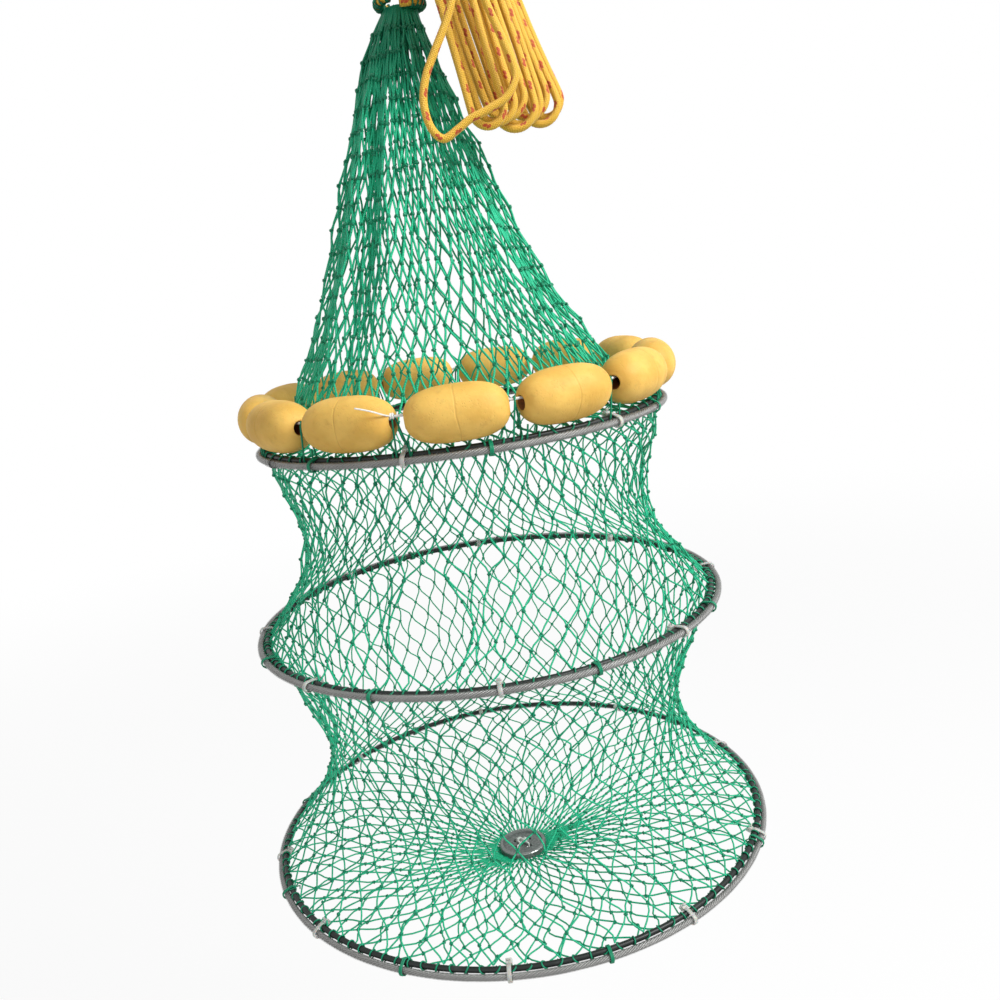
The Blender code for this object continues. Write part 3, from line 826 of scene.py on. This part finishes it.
neck_twine = net_piece("neck_twine", neck_outline(),
                       Weave(20, neck_place, 11, 0.075, NECK_TWINE_R, sway=NECK_SWAY))
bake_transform(neck_twine)
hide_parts("neck_net")

upper_twine = net_piece("upper_twine", bay_outline(seat(TOP, 220), seat(MIDDLE, 145), UPPER_SHARES),
                        Weave(11, upper_place, 12, slit=True))
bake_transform(upper_twine)
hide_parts("upper_net")

lower_twine = net_piece("lower_twine", bay_outline(seat(MIDDLE, 220), seat(BOTTOM, 135), LOWER_SHARES),
                        Weave(15, lower_place, 13))
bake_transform(lower_twine)
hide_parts("lower_net")

base_twine = net_piece("base_twine", base_outline(), Weave(13, base_place, 14))
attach(base_twine, "bottom_ring")
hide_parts("bottom_net")

# %% [markdown]
# ## Black hoops
# Each hoop is a black plastic tube bent into a ring. It is one closed tube along a circle, with
# enough steps to look round close up. Its finish is a dull black with scuffs where it has been
# handled and rubbed by the twine.

# %% Black hoops
HOOP_STEPS = 180
TUBE_SIDES = 14


def circle(radius, height):
    return polar(radius, 2 * math.pi * np.arange(HOOP_STEPS) / HOOP_STEPS, height)


plastic = Finish("black_tube", specular_ior_level=0.30)
rubbed = plastic.noise(0.012, 5.0).between(0.52, 0.74)
worn = plastic.mix(rubbed, (0.009, 0.012, 0.011), (0.030, 0.036, 0.034))
plastic.colour(plastic.noise(0.060, 3.0) * 0.35, worn, (0.018, 0.024, 0.022))
plastic.set("Roughness", 0.40 + rubbed * 0.22)
plastic.bump(plastic.noise(0.0016, 3.0), 0.00012, 0.5)

for hoop in HOOPS:
    mesh = tube_mesh("tube", circle(hoop.radius, hoop.height), TUBE_R, TUBE_SIDES, closed=True)
    tube = piece_of(hoop.stem + "_tube", mesh, plastic)
    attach(tube, hoop.body)
    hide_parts(hoop.stem + "_hoop")

# %% [markdown]
# ## Wire rope in a clear sleeve
# Outside each tube lies a steel wire rope in a clear plastic sleeve. Six strands wind round each
# other with a lay of about 21 mm. They are real strands, so they catch the light as separate lines,
# and the sleeve is a thin see-through tube over them.

# %% Wire rope
STRANDS = 6
STRAND_R = 0.00105
STRAND_HELIX_R = 0.00168
LAY = 0.021
LAY_STEPS = 9
SLEEVE_SIDES = 12
WIRE_PITCH = 0.0011

steel = Finish("steel_strands", metallic=0.75)
steel.colour(steel.noise(0.02, 3.0), (0.20, 0.20, 0.195), (0.36, 0.36, 0.35))
steel.set("Roughness", 0.34 + steel.noise(0.006, 2.0) * 0.16)
steel.bump((steel.read("run") * (2 * math.pi / WIRE_PITCH)).wave(), 0.00010, 0.7)

clear = Finish("clear_sleeve", ior=1.45)
cloud = clear.noise(0.018, 4.0).between(0.35, 0.75)
clear.colour(cloud, (0.17, 0.17, 0.165), (0.27, 0.27, 0.26))
clear.set("Roughness", 0.16 + cloud * 0.16)
clear.set("Alpha", 0.16 + cloud * 0.13)


def laid_strands(radius, height):
    turns = round(2 * math.pi * radius / LAY)
    angle = 2 * math.pi * np.arange(turns * LAY_STEPS) / (turns * LAY_STEPS)
    wind = turns * angle + 2 * math.pi * np.arange(STRANDS)[:, None] / STRANDS
    return polar(radius + STRAND_HELIX_R * np.cos(wind), angle, height + STRAND_HELIX_R * np.sin(wind))


laid = Graph("laid_wire")
laid.close(laid.swept(laid.strand(), laid.input("Strand radius"), 6))
for hoop in HOOPS:
    radius, height = hoop.radius + hoop.rope_out, hoop.height + hoop.rope_up
    lines = line_mesh("wires", laid_strands(radius, height), closed=True)
    wires = grown(hoop.stem + "_wire_strands", lines, laid, steel, "sleeved_wire_rope",
                  Strand_radius=STRAND_R)
    mesh = tube_mesh("sleeve", circle(radius, height), ROPE_HOOP_R, SLEEVE_SIDES, closed=True)
    sleeve = piece_of(hoop.stem + "_clear_sleeve", mesh, clear)
    for piece in (wires, sleeve):
        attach(piece, hoop.body)
    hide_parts(hoop.stem + "_rope_hoop")

# %% [markdown]
# ## Straps and lashings round tube and wire rope
# Tube and wire rope are held together by cable ties and by short green lashings, and the nets' edges
# are laced to the tube with a loop at every foot. All three are made once, in the hoop's own section,
# and then a graph sets copies round the hoop at marked angles. Each copy leans a little at random.

# %% Copies round a hoop
def copies_round(name, model, radius, height, angles, finish, slot, lean, seed):
    """Copies of a section mesh, one at each angle."""
    mesh = mesh_of(name, polar(radius, angles, height))
    mark(mesh, "turn", angles)
    model = placed(name + "_model", model)
    piece = grown(name, mesh, round_hoop, finish, slot, Copy=model, Lean=lean, Seed=seed)
    bpy.data.objects.remove(model)
    return piece


round_hoop = Graph("round_the_hoop")
copy = round_hoop.input("Copy", "NodeSocketObject")
lean = round_hoop.input("Lean")
seed = round_hoop.input("Seed", "NodeSocketInt")
model = round_hoop.add("GeometryNodeObjectInfo", {"Object": copy}, output="Geometry")
chance = round_hoop.add("FunctionNodeRandomValue", {2: -1.0, 3: 1.0, "Seed": seed}, output=1,
                        data_type="FLOAT")
facing = round_hoop.add("ShaderNodeCombineXYZ", {"X": chance * lean, "Z": round_hoop.read("turn")})
round_hoop.close(round_hoop.copies(round_hoop.start, model, Rotation=facing))

# %% [markdown]
# A strap or lashing lies along the outline of what it holds. That outline is the convex hull of the
# circles of the section, such as the tube and the wire rope beside it.

# %% Outlines of a bundle
HULL_STEPS = 40


def bundle_outline(circles, spacing):
    """Even points round the convex hull of circles, each given as (x, z, radius)."""
    around = 2 * math.pi * np.arange(HULL_STEPS) / HULL_STEPS
    cloud = [(x + r * math.cos(a), z + r * math.sin(a)) for x, z, r in circles for a in around]
    hull = np.array(cloud)[convex_hull_2d(cloud)]
    hull = np.roll(hull, -hull[:, 0].argmin(), axis=0)
    return even_steps(np.concatenate([hull, hull[:1]]), spacing, 12)[:-1]


def bundle(hoop, clearance):
    return [(0.0, 0.0, TUBE_R + clearance), (hoop.rope_out, hoop.rope_up, ROPE_HOOP_R + clearance)]


print("top bundle:", len(bundle_outline(bundle(TOP, GAP), 0.0006)), "points round")

# %% [markdown]
# ## Cable ties
# Milky nylon cable ties: a flat strap with rounded edges round the bundle, a square head with the
# mouth that the strap passes through, and a cut-off end. The strap is a rounded band swept along the
# outline, and the head is a bevelled block with a raised collar.

# %% Cable ties
TIE_WIDTH = 0.0036
TIE_THICK = 0.0012
HEAD_WIDE, HEAD_DEEP, HEAD_TALL = 0.0052, 0.0045, 0.0050
TIE_LEAN = math.radians(4)
TIE_SEEDS = (23, 21, 22)
FLOAT_COUNT = 13
FLOAT_STEP = 2 * math.pi / FLOAT_COUNT
FIRST_GAP = math.radians(255.5)
TIES = {"top": [math.degrees(FIRST_GAP + 2 * FLOAT_STEP * k) for k in range(6)],
        "middle": range(0, 360, 45),
        "bottom": (16, 54, 97, 139, 186, 219, 264, 302, 334)}

# The head, its collar and the cut end as blocks: middle, size and bevel of each.
TIE_BLOCKS = (((0, 0), (HEAD_WIDE, HEAD_TALL, HEAD_DEEP), 0.0007),
              ((HEAD_WIDE / 2, 0), (0.0010, TIE_WIDTH * 0.9, HEAD_DEEP * 0.62), 0.0003),
              ((-HEAD_WIDE / 2 - 0.0008, -HEAD_DEEP * 0.12),
               (0.0026, TIE_WIDTH * 0.92, TIE_THICK), 0.0003))


def tie_model(hoop):
    """A tie in the hoop's section: x outwards, y along the hoop, z up. Its head faces inwards."""
    outline = bundle_outline(bundle(hoop, GAP), 0.0009)
    ahead = np.roll(outline, -1, axis=0) - np.roll(outline, 1, axis=0)
    ahead /= np.linalg.norm(ahead, axis=1)[:, None]
    half, edge = TIE_WIDTH / 2, TIE_THICK * 0.3
    band = [(-half, edge), (edge - half, 0), (half - edge, 0), (half, edge)]
    band += [(wide, TIE_THICK - lift) for wide, lift in band[::-1]]
    points = [(x + ahead_z * lift, wide, z - ahead_x * lift)
              for (x, z), (ahead_x, ahead_z) in zip(outline, ahead) for wide, lift in band]
    faces, _, _ = ring_faces(len(outline), len(band), True, TURNED_CORNERS)
    work = bmesh.new()
    work.from_mesh(mesh_of("strap", points, faces=faces))
    away = math.atan2(-hoop.rope_up, -hoop.rope_out)
    reach = TUBE_R + GAP + (TIE_THICK + HEAD_DEEP) / 2
    place = Matrix.Translation((reach * math.cos(away), 0, reach * math.sin(away)))
    place = place @ Matrix.Rotation(-away - math.pi / 2, 4, "Y")
    for (across, up), size, bevel in TIE_BLOCKS:
        block = place @ Matrix.Translation((across, 0, up)) @ Matrix.Diagonal((*size, 1))
        made = bmesh.ops.create_cube(work, size=1.0, matrix=block)
        edges = list({edge for vert in made["verts"] for edge in vert.link_edges})
        bmesh.ops.bevel(work, geom=edges, offset=bevel, segments=2, profile=0.6, affect="EDGES")
    mesh = bpy.data.meshes.new("tie")
    work.to_mesh(mesh)
    work.free()
    return mesh


nylon = Finish("milky_nylon", subsurface_weight=0.25, subsurface_scale=0.002, roughness=0.38,
               specular_ior_level=0.5)
yellowed = nylon.noise(0.009, 3.0)
nylon.colour(yellowed, (0.50, 0.51, 0.48), (0.67, 0.68, 0.64))
nylon.set("Alpha", 0.52 + yellowed * 0.2)
nylon.bump(nylon.noise(0.0009, 2.0), 0.00010, 0.4)

for hoop, seed in zip(HOOPS, TIE_SEEDS):
    angles = np.radians(TIES[hoop.stem])
    ties = copies_round(hoop.stem + "_cable_ties", tie_model(hoop), hoop.radius, hoop.height, angles,
                        nylon, "nylon", TIE_LEAN, seed)
    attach(ties, hoop.body)
    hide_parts(*[f"{hoop.stem}_tie_{k + 1}" for k in range(len(angles))])

# %% [markdown]
# ## Lashings and edge loops
# Between the ties, a few turns of the same green twine are wound tightly round tube and wire rope.
# The nets' edges hang on the tube: the twine passes round it once at every foot of a net. Longer
# lashings hold the float line down at the gaps between the floats, and small loops hold the cord at
# the mouth. All are thin tubes wound along an outline.

# %% Lashings and edge loops
Winding = namedtuple("Winding", "spacing turns wide radius sides lean tail", defaults=(0.0,))
LASHING = Winding(0.0022, 3.4, 0.0031, 0.00062, 6, 0.12, 0.012)
EDGE_LOOP = Winding(0.0017, 1.3, 0.0026, TWINE_R, 4, 0.9)
FLOAT_LASHING = Winding(0.0040, 1.3, 0.0130, TWINE_R, 5, 0.10)
MOUTH_LOOP = Winding(0.0018, 1.4, 0.0020, TWINE_R, 4, 0.5)
MOUTH_LOOP_STEP = 0.0046
TAIL_BENDS = ((0.38, 0.70, 0.80), (0.40, 0.45, 0.35), (0.25, 0.15, 0.10))
LASHINGS = {"top": (229.7, 276.0, 331.0, 28.0, 74.0, 122.0, 172.0),
            "middle": (242.8, 290.5, 330.6, 22.0, 66.0, 112.0, 158.0, 203.0),
            "bottom": (201.6, 242.7, 283.3, 331.4, 35.0, 76.0, 118.0, 162.0)}
LINE_R = 0.001
LINE_HEIGHT = TOP.height + FLOAT_RISE + 0.00525 - LINE_R - 2 * GAP
LINE_CORNER_R = FLOAT_RING_R / math.cos(math.pi / FLOAT_COUNT)
GAP_ANGLES = FIRST_GAP + FLOAT_STEP * np.arange(FLOAT_COUNT)


def wound_round(name, body, winding, circles, radius, height, angles, seed):
    """Twine wound round a bundle at each angle, made with x outwards, y along the hoop and z up."""
    outline = bundle_outline(circles, winding.spacing)
    steps = round(len(outline) * winding.turns)
    ring = np.arange(steps + 1)
    x, z = outline[ring % len(outline)].T
    path = np.stack([x, winding.wide * (ring / steps - 0.5), z], axis=1)
    if winding.tail:
        path = np.concatenate([path[0] - winding.tail * np.array(TAIL_BENDS), path])
    model = tube_mesh("wound", path, winding.radius, winding.sides)
    # Marks the winding as wound, for the painted shade in the twine's material.
    mark(model, "wound", 1.0)
    piece = copies_round(name, model, radius, height, angles, twine, "green_twine", winding.lean, seed)
    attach(piece, body)


on_tube = (0.0, 0.0, TUBE_R + TWINE_R)
for number, hoop in enumerate(HOOPS):
    wound_round(hoop.stem + "_lashings", hoop.body, LASHING, bundle(hoop, TWINE_R + 0.0002),
                hoop.radius, hoop.height, np.radians(LASHINGS[hoop.stem]), 31 + number)
    crowd, every = (TOP_CROWD, 1.0) if hoop is TOP else (0.0, 0.5)
    wound_round(hoop.stem + "_edge_loops", hoop.body, EDGE_LOOP, [on_tube],
                hoop.radius, hoop.height, column_angle(np.arange(0, COLUMNS, every), crowd), 41 + number)

on_line = (LINE_CORNER_R - TOP.radius, LINE_HEIGHT - TOP.height, LINE_R + TWINE_R)
wound_round("float_lashings", "top_ring", FLOAT_LASHING, [on_tube, on_line],
            TOP.radius, TOP.height, GAP_ANGLES, 45)

x, y, height = even_path(mouth_cord_route()[:-2], MOUTH_LOOP_STEP)[2:-2].T
wound_round("mouth_edge_loops", "neck", MOUTH_LOOP, [(0.0, 0.0, CORD_R + TWINE_R)],
            np.hypot(x, y), height, np.arctan2(y, x), 44)

# %% [markdown]
# ## Foam floats
# Thirteen egg-shaped floats of pressed foam are threaded on a clear line. A float is a turned form:
# its outline is spun round the bore, with a rounded lip at each mouth. A faint moulded seam runs round
# the girth, and each float is a little out of round in its own way. The bore gets a second, darker
# material, because it never sees the light that the outside does.

# %% Float shape and finishes
FLOAT_HALF = 0.03725
FLOAT_POWER = 2.7
SKIN_HALF = FLOAT_HALF * 0.985
BORE_R = 0.00525
LIP = 0.0016
LIP_POINTS = ((0.998, 0.55), (0.996, 0.18), (0.975, 0.0))
UNEVEN = 0.018
SEAM_RIPPLES = ((0.0007, 2), (0.0004, 5))
FLOAT_SPOKES = 40
FLOAT_ROWS = 33
SEAM_ROWS = (0.034, 0.016, 0.0, -0.016, -0.034)
SEAM_HALF = 0.0003
SEAM_DEEP = 0.00038


def float_profile():
    """Points (along, radius) round half of a float's section: the skin, the lips and the bore."""
    end = (1 - ((BORE_R + LIP) / FLOAT_GIRTH_R) ** FLOAT_POWER) ** (1 / FLOAT_POWER)
    rows = [math.copysign(abs(math.sin(a)) ** 0.8, a)
            for a in np.linspace(math.pi / 2, -math.pi / 2, FLOAT_ROWS)]
    rows = [max(-end, min(end, h)) for h in rows if abs(h) > 0.03]
    middle = len(rows) // 2
    rows[middle:middle] = SEAM_ROWS
    skin = [(SKIN_HALF * h / end, FLOAT_GIRTH_R * (1 - abs(h) ** FLOAT_POWER) ** (1 / FLOAT_POWER))
            for h in dict.fromkeys(rows)]
    lip = [(FLOAT_HALF * far, BORE_R + LIP * out) for far, out in LIP_POINTS]
    outline = lip[::-1] + skin + [(-x, r) for x, r in lip]
    return outline + [(x, BORE_R) for x in np.linspace(outline[-1][0], outline[0][0], 6)[1:-1]]


def float_mesh(angle, seed):
    """A float on the ring at this angle, and which of its faces are the bore's."""
    chance = np.random.default_rng(seed)
    bulge, phase = chance.uniform(-UNEVEN, 0.0, 3), chance.uniform(0, 2 * math.pi, 3)
    spoke = 2 * math.pi * np.arange(FLOAT_SPOKES) / FLOAT_SPOKES
    uneven = sum(b * (1 + np.cos((k + 1) * spoke + p)) / 2 for k, (b, p) in enumerate(zip(bulge, phase)))
    ripple = sum(size * np.sin(waves * spoke + p) for (size, waves), p in zip(SEAM_RIPPLES, phase))
    loop = np.array(float_profile())
    x, radius = loop.T[:, :, None]
    skin = radius > BORE_R + LIP
    seam = skin & (abs(x) < SEAM_HALF)
    reach = radius * (1 + uneven * skin) - SEAM_DEEP * seam
    x = x + ripple * (skin & (abs(x) < 0.002))
    side, up = reach * np.cos(spoke), reach * np.sin(spoke)
    points = polar(FLOAT_RING_R, angle, TOP.height + FLOAT_RISE) + np.stack(
        [-x * math.sin(angle) - side * math.cos(angle), x * math.cos(angle) - side * math.sin(angle), up],
        axis=-1)
    faces, ring, _ = ring_faces(len(loop), FLOAT_SPOKES, True, TURNED_CORNERS)
    in_bore = loop[:, 1] <= BORE_R
    mesh = mesh_of("float", points.reshape(-1, 3), faces=faces)
    mesh.shade_smooth()
    mark(mesh, "seam", np.repeat(seam, FLOAT_SPOKES))
    return mesh, (in_bore & np.roll(in_bore, -1))[ring]


foam = Finish("pressed_foam", roughness=0.62, specular_ior_level=0.35, subsurface_weight=0.12,
              subsurface_scale=0.004)
skin = foam.mix(foam.noise(0.024, 3.0).between(0.3, 0.7), (0.63, 0.365, 0.066), (0.77, 0.480, 0.108))
cell = foam.add("ShaderNodeTexVoronoi", {"Vector": foam.place, "Scale": 1 / 0.0016}, feature="F1")
pits = (1 - cell.between(0.12, 0.42)) * foam.noise(0.005, 2.0).between(0.45, 0.62)
grime = foam.noise(0.009, 5.0).between(0.58, 0.75)
skin = foam.mix(grime * 0.30, skin, (0.44, 0.24, 0.055))
skin = foam.mix(foam.read("seam") * 0.30, skin, (0.42, 0.22, 0.05))
foam.colour(pits * 0.22, skin, (0.46, 0.26, 0.07))
foam.bump(foam.noise(0.0035, 4.0) - pits * 0.45, 0.0005, 0.55)

bore = Finish("foam_bore", roughness=0.8, specular_ior_level=0.2)
bore.colour(bore.noise(0.004, 3.0), (0.30, 0.105, 0.035), (0.46, 0.190, 0.065))
bore.bump(bore.noise(0.0012, 2.0), 0.0003, 0.6)


def second_material(mesh, finish, chosen):
    """Give some of a mesh's faces a second material."""
    mesh.materials.append(finish.material)
    mesh.polygons.foreach_set("material_index", np.array(chosen, np.int32))


for index in range(FLOAT_COUNT):
    mesh, dark = float_mesh(FIRST_GAP + FLOAT_STEP * (index + 0.5), 50 + index)
    body = piece_of(f"foam_float_{index + 1}", mesh, foam)
    second_material(mesh, bore, dark)
    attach(body, f"float_{index + 1}_body")
    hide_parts(f"float_{index + 1}")

# %% [markdown]
# ## Clear line
# The floats hang on a clear nylon line. It runs straight through each bore and bends at the gaps,
# where green twine holds it down to the hoop. It is tied off at the front left, with a tail. The same
# line laces the sinker crosswise through its holes.

# %% Float line and sinker line
LINE_KNOT_AT = FIRST_GAP - math.radians(1.6)
LINE_TAIL = ((0.0015, 0.0, 0.0005), (0.0090, 0.0025, 0.0030), (0.0135, 0.0070, 0.0060),
             (0.0165, 0.0125, 0.0085), (0.0185, 0.0185, 0.0105))
LINE_SIDES = 8
LINE_BENDS = (0.0, 0.07, 0.35, 0.65, 0.93)
LINE_TAIL_R = 0.0006
LINE_KNOT = (0.0009, 0.0019)
KNOT_TURNS = 2.5
KNOT_LONG = 4.4
KNOT_STEPS = 30
SINKER_WEB = 0.0024
SINKER_LINE_R = 0.0008
HOLE_PITCH_R = 0.0085
LACING_BEND = 0.0006
LACING_STEP = 0.0011
TANGLE = (((0.0024, -0.0004), (0.8, 0.6, 0.1), 0.0020), ((-0.0026, 0.0006), (0.5, -0.85, 0.2), 0.0024))

nylon_line = Finish("clear_line", ior=1.5, roughness=0.16, specular_ior_level=0.6)
hazy = nylon_line.noise(0.005, 3.0)
nylon_line.colour(hazy, (0.76, 0.77, 0.74), (0.90, 0.91, 0.88))
nylon_line.set("Alpha", 0.62 + hazy * 0.3)


def merged(*meshes):
    """One mesh of several, kept as separate closed shells."""
    work = bmesh.new()
    for mesh in meshes:
        work.from_mesh(mesh)
    result = bpy.data.meshes.new("merged")
    work.to_mesh(result)
    work.free()
    result.shade_smooth()
    return result


def small_knot(centre, axis, radius, coil_r):
    """A few tight turns about an axis."""
    axis = Vector(axis).normalized()
    side = axis.orthogonal().normalized()
    share = np.arange(KNOT_STEPS + 1)[:, None] / KNOT_STEPS
    turn = 2 * math.pi * KNOT_TURNS * share
    frame_of = np.array([side, axis.cross(side), axis])
    coil = np.hstack([coil_r * np.cos(turn), coil_r * np.sin(turn), radius * KNOT_LONG * (share - 0.5)])
    return tube_mesh("knot", coil @ frame_of + centre, radius, LINE_SIDES)


def float_line_mesh():
    corners = polar(LINE_CORNER_R, GAP_ANGLES, LINE_HEIGHT)
    route = [here + (there - here) * share for here, there in zip(corners, np.roll(corners, -1, axis=0))
             for share in LINE_BENDS]
    line = tube_mesh("line", even_path(route, 0.003, closed=True), LINE_R, LINE_SIDES, closed=True)
    centre = polar(LINE_CORNER_R, LINE_KNOT_AT, LINE_HEIGHT)
    out, sideways = polar(1, LINE_KNOT_AT, 0), polar(1, LINE_KNOT_AT - math.pi / 2, 0)
    knot = small_knot(centre, -sideways, *LINE_KNOT)
    tail = centre + np.array(LINE_TAIL) @ np.array([out, sideways, (0, 0, 1)])
    return merged(line, knot, tube_mesh("tail", even_path(tail, 0.0015), LINE_TAIL_R, LINE_SIDES))


def lacing_route():
    """Two crossed stitches over the sinker, joined by two runs under it."""
    clear_of = SINKER_WEB / 2 + SINKER_LINE_R + GAP
    bend = clear_of - LACING_BEND
    reach = HOLE_PITCH_R * math.cos(math.pi / 4)
    route = []
    for side, over in ((-1, clear_of), (1, clear_of + 2 * SINKER_LINE_R + GAP)):
        x, y = side * reach, -reach
        route += [(x, y, -bend), (x, y, bend), (x * 0.8, y * 0.8, over), (-x * 0.8, -y * 0.8, over),
                  (-x, -y, bend), (-x, -y, -bend), (-x, -y * 0.75, -clear_of), (-x, y * 0.75, -clear_of)]
    return np.array(route) + (0, 0, SINKER_Z)


float_line = piece_of("float_line_strand", float_line_mesh(), nylon_line)
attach(float_line, "top_ring")
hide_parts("float_line")

lacing = tube_mesh("lacing", even_path(lacing_route(), LACING_STEP, closed=True), SINKER_LINE_R, LINE_SIDES,
                   closed=True)
top_of_cross = SINKER_Z + SINKER_WEB / 2 + 4 * SINKER_LINE_R + GAP
tangle = [small_knot((*spot, top_of_cross), axis, SINKER_LINE_R, coil_r) for spot, axis, coil_r in TANGLE]
sinker_line = piece_of("sinker_lacing", merged(lacing, *tangle), nylon_line)
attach(sinker_line, "bottom_ring")
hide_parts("sinker_line")

# %% [markdown]
# ## Joints of the wire-rope hoops
# Each sleeved rope is cut to length and closed to a ring. Its two ends meet inside a short clear
# sleeve, where the cut shows as a dark line. The top hoop's joint is at the photograph's left end.

# %% Rope joints
JOINT_HALF = 0.011
JOINT_WALL = 0.0005
CUT_HALF = 0.0010
JOINTS = {"top": 211.0, "middle": 84.0, "bottom": 128.0}


def short_arc(hoop, half, radius):
    """A short tube along the rope's hoop."""
    ring = hoop.radius + hoop.rope_out
    turns = math.radians(JOINTS[hoop.stem]) + half / ring * np.linspace(-1, 1, 5)
    return tube_mesh("arc", polar(ring, turns, hoop.height + hoop.rope_up), radius, 16)


for hoop in HOOPS:
    sleeve = short_arc(hoop, JOINT_HALF, ROPE_HOOP_R + JOINT_WALL)
    cut = short_arc(hoop, CUT_HALF, ROPE_HOOP_R + JOINT_WALL * 1.3)
    joint = piece_of(hoop.stem + "_rope_joint", merged(sleeve, cut), clear)
    second_material(joint.data, plastic, [0] * len(sleeve.polygons) + [1] * len(cut.polygons))
    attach(joint, hoop.body)

# %% [markdown]
# ## Sinker
# The sinker is a dished round weight of cast zinc with four holes, like a button. The frame already
# has its true shape, so its node stays, and only gets a cast finish: dull grey, darker in the pores,
# and brighter on the raised rim, partly rubbed wear and partly a painted highlight.

# %% Sinker finish
zinc = Finish("cast_zinc", metallic=0.72)
pores = zinc.noise(0.0022, 4.0).between(0.40, 0.70)
# Brighter on the raised rim: partly rubbed wear, partly a painted highlight.
rim_wear_and_highlight = (zinc.height() - (SINKER_Z + 0.0018)).between(0.0, 0.0012)
cast = zinc.mix(pores, (0.150, 0.162, 0.158), (0.230, 0.245, 0.238))
zinc.colour(rim_wear_and_highlight * 0.25, cast, (0.36, 0.37, 0.36))
zinc.set("Roughness", 0.52 - rim_wear_and_highlight * 0.16 - pores * 0.08)
zinc.bump(zinc.noise(0.0012, 3.0), 0.0002, 0.6)

sinker_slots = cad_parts["sinker"].material_slots
for place in sinker_slots:
    place.material = zinc.material
print("sinker finish on", len(sinker_slots), "slot")

# %% [markdown]
# ## Floor and light
# The basket hangs from its mouth, well above a plain pale floor. The photograph's ground is white, so
# floor and world look white to the camera and in reflections, while the lamps stay at a plain level.
# One broad lamp at the upper right gives the light side of the floats, and the world fills the rest.

# %% Floor, world and lamps
FLOOR_Z = -1.30
FLOOR_HALF = 14.0
FLOOR_GLOW = 0.90
GLOW_FROM, GLOW_TO = 1.9, 4.5
WORLD_FILL = 0.46
LIT_PLACE = Vector((0, 0, -0.4))


def seen_directly(recipe):
    """1 for rays that look at a surface straight, by reflection or through something clear."""
    ray = recipe.add("ShaderNodeLightPath", output="Is Camera Ray")
    return ray.most(ray.sibling("Is Glossy Ray")).most(ray.sibling("Is Transmission Ray"))


def lamp(name, place, size, watts):
    light = bpy.data.lights.new(name, "AREA")
    light.size, light.energy = size, watts
    item = placed(name, light)
    item.location = place
    item.rotation_euler = (LIT_PLACE - item.location).to_track_quat("-Z", "Y").to_euler()


corners = [(x * FLOOR_HALF, y * FLOOR_HALF, FLOOR_Z) for x, y in ((-1, -1), (1, -1), (1, 1), (-1, 1))]
floor = placed("floor", mesh_of("floor", corners, faces=[(0, 1, 2, 3)]))
finish = bpy.data.materials.new("pale_floor")
finish.use_nodes = True
recipe = Recipe(finish.node_tree)
recipe.tree.nodes.clear()
matt = recipe.add("ShaderNodeBsdfDiffuse", {"Color": (0.86, 0.86, 0.86, 1.0)})
glow = recipe.add("ShaderNodeEmission", {"Color": (1.0, 1.0, 1.0, 1.0), "Strength": 1.0})
spot = recipe.add("ShaderNodeTexCoord", output="Object")
away = recipe.add("ShaderNodeVectorMath", {0: spot}, output="Value", operation="LENGTH")
share = (FLOOR_GLOW + away.between(GLOW_FROM, GLOW_TO) * (1 - FLOOR_GLOW)) * seen_directly(recipe)
shown = recipe.add("ShaderNodeMixShader", {0: share, 1: matt, 2: glow})
recipe.add("ShaderNodeOutputMaterial", {"Surface": shown})
floor.data.materials.append(finish)
world = bpy.data.worlds.new("studio")
world.use_nodes = True
bpy.context.scene.world = world
recipe = Recipe(world.node_tree)
sockets = recipe.tree.nodes["Background"].inputs
sockets["Color"].default_value = (1.0, 1.0, 1.0, 1.0)
recipe.feed(sockets["Strength"], seen_directly(recipe) * (1 - WORLD_FILL) + WORLD_FILL)
lamp("key", (1.7, -1.0, 1.2), 1.1, 78.0)
lamp("front_fill", (-1.3, -1.8, 0.2), 1.6, 6.0)
bpy.context.scene.view_settings.view_transform = "Standard"
print("floor at", FLOOR_Z, "m")
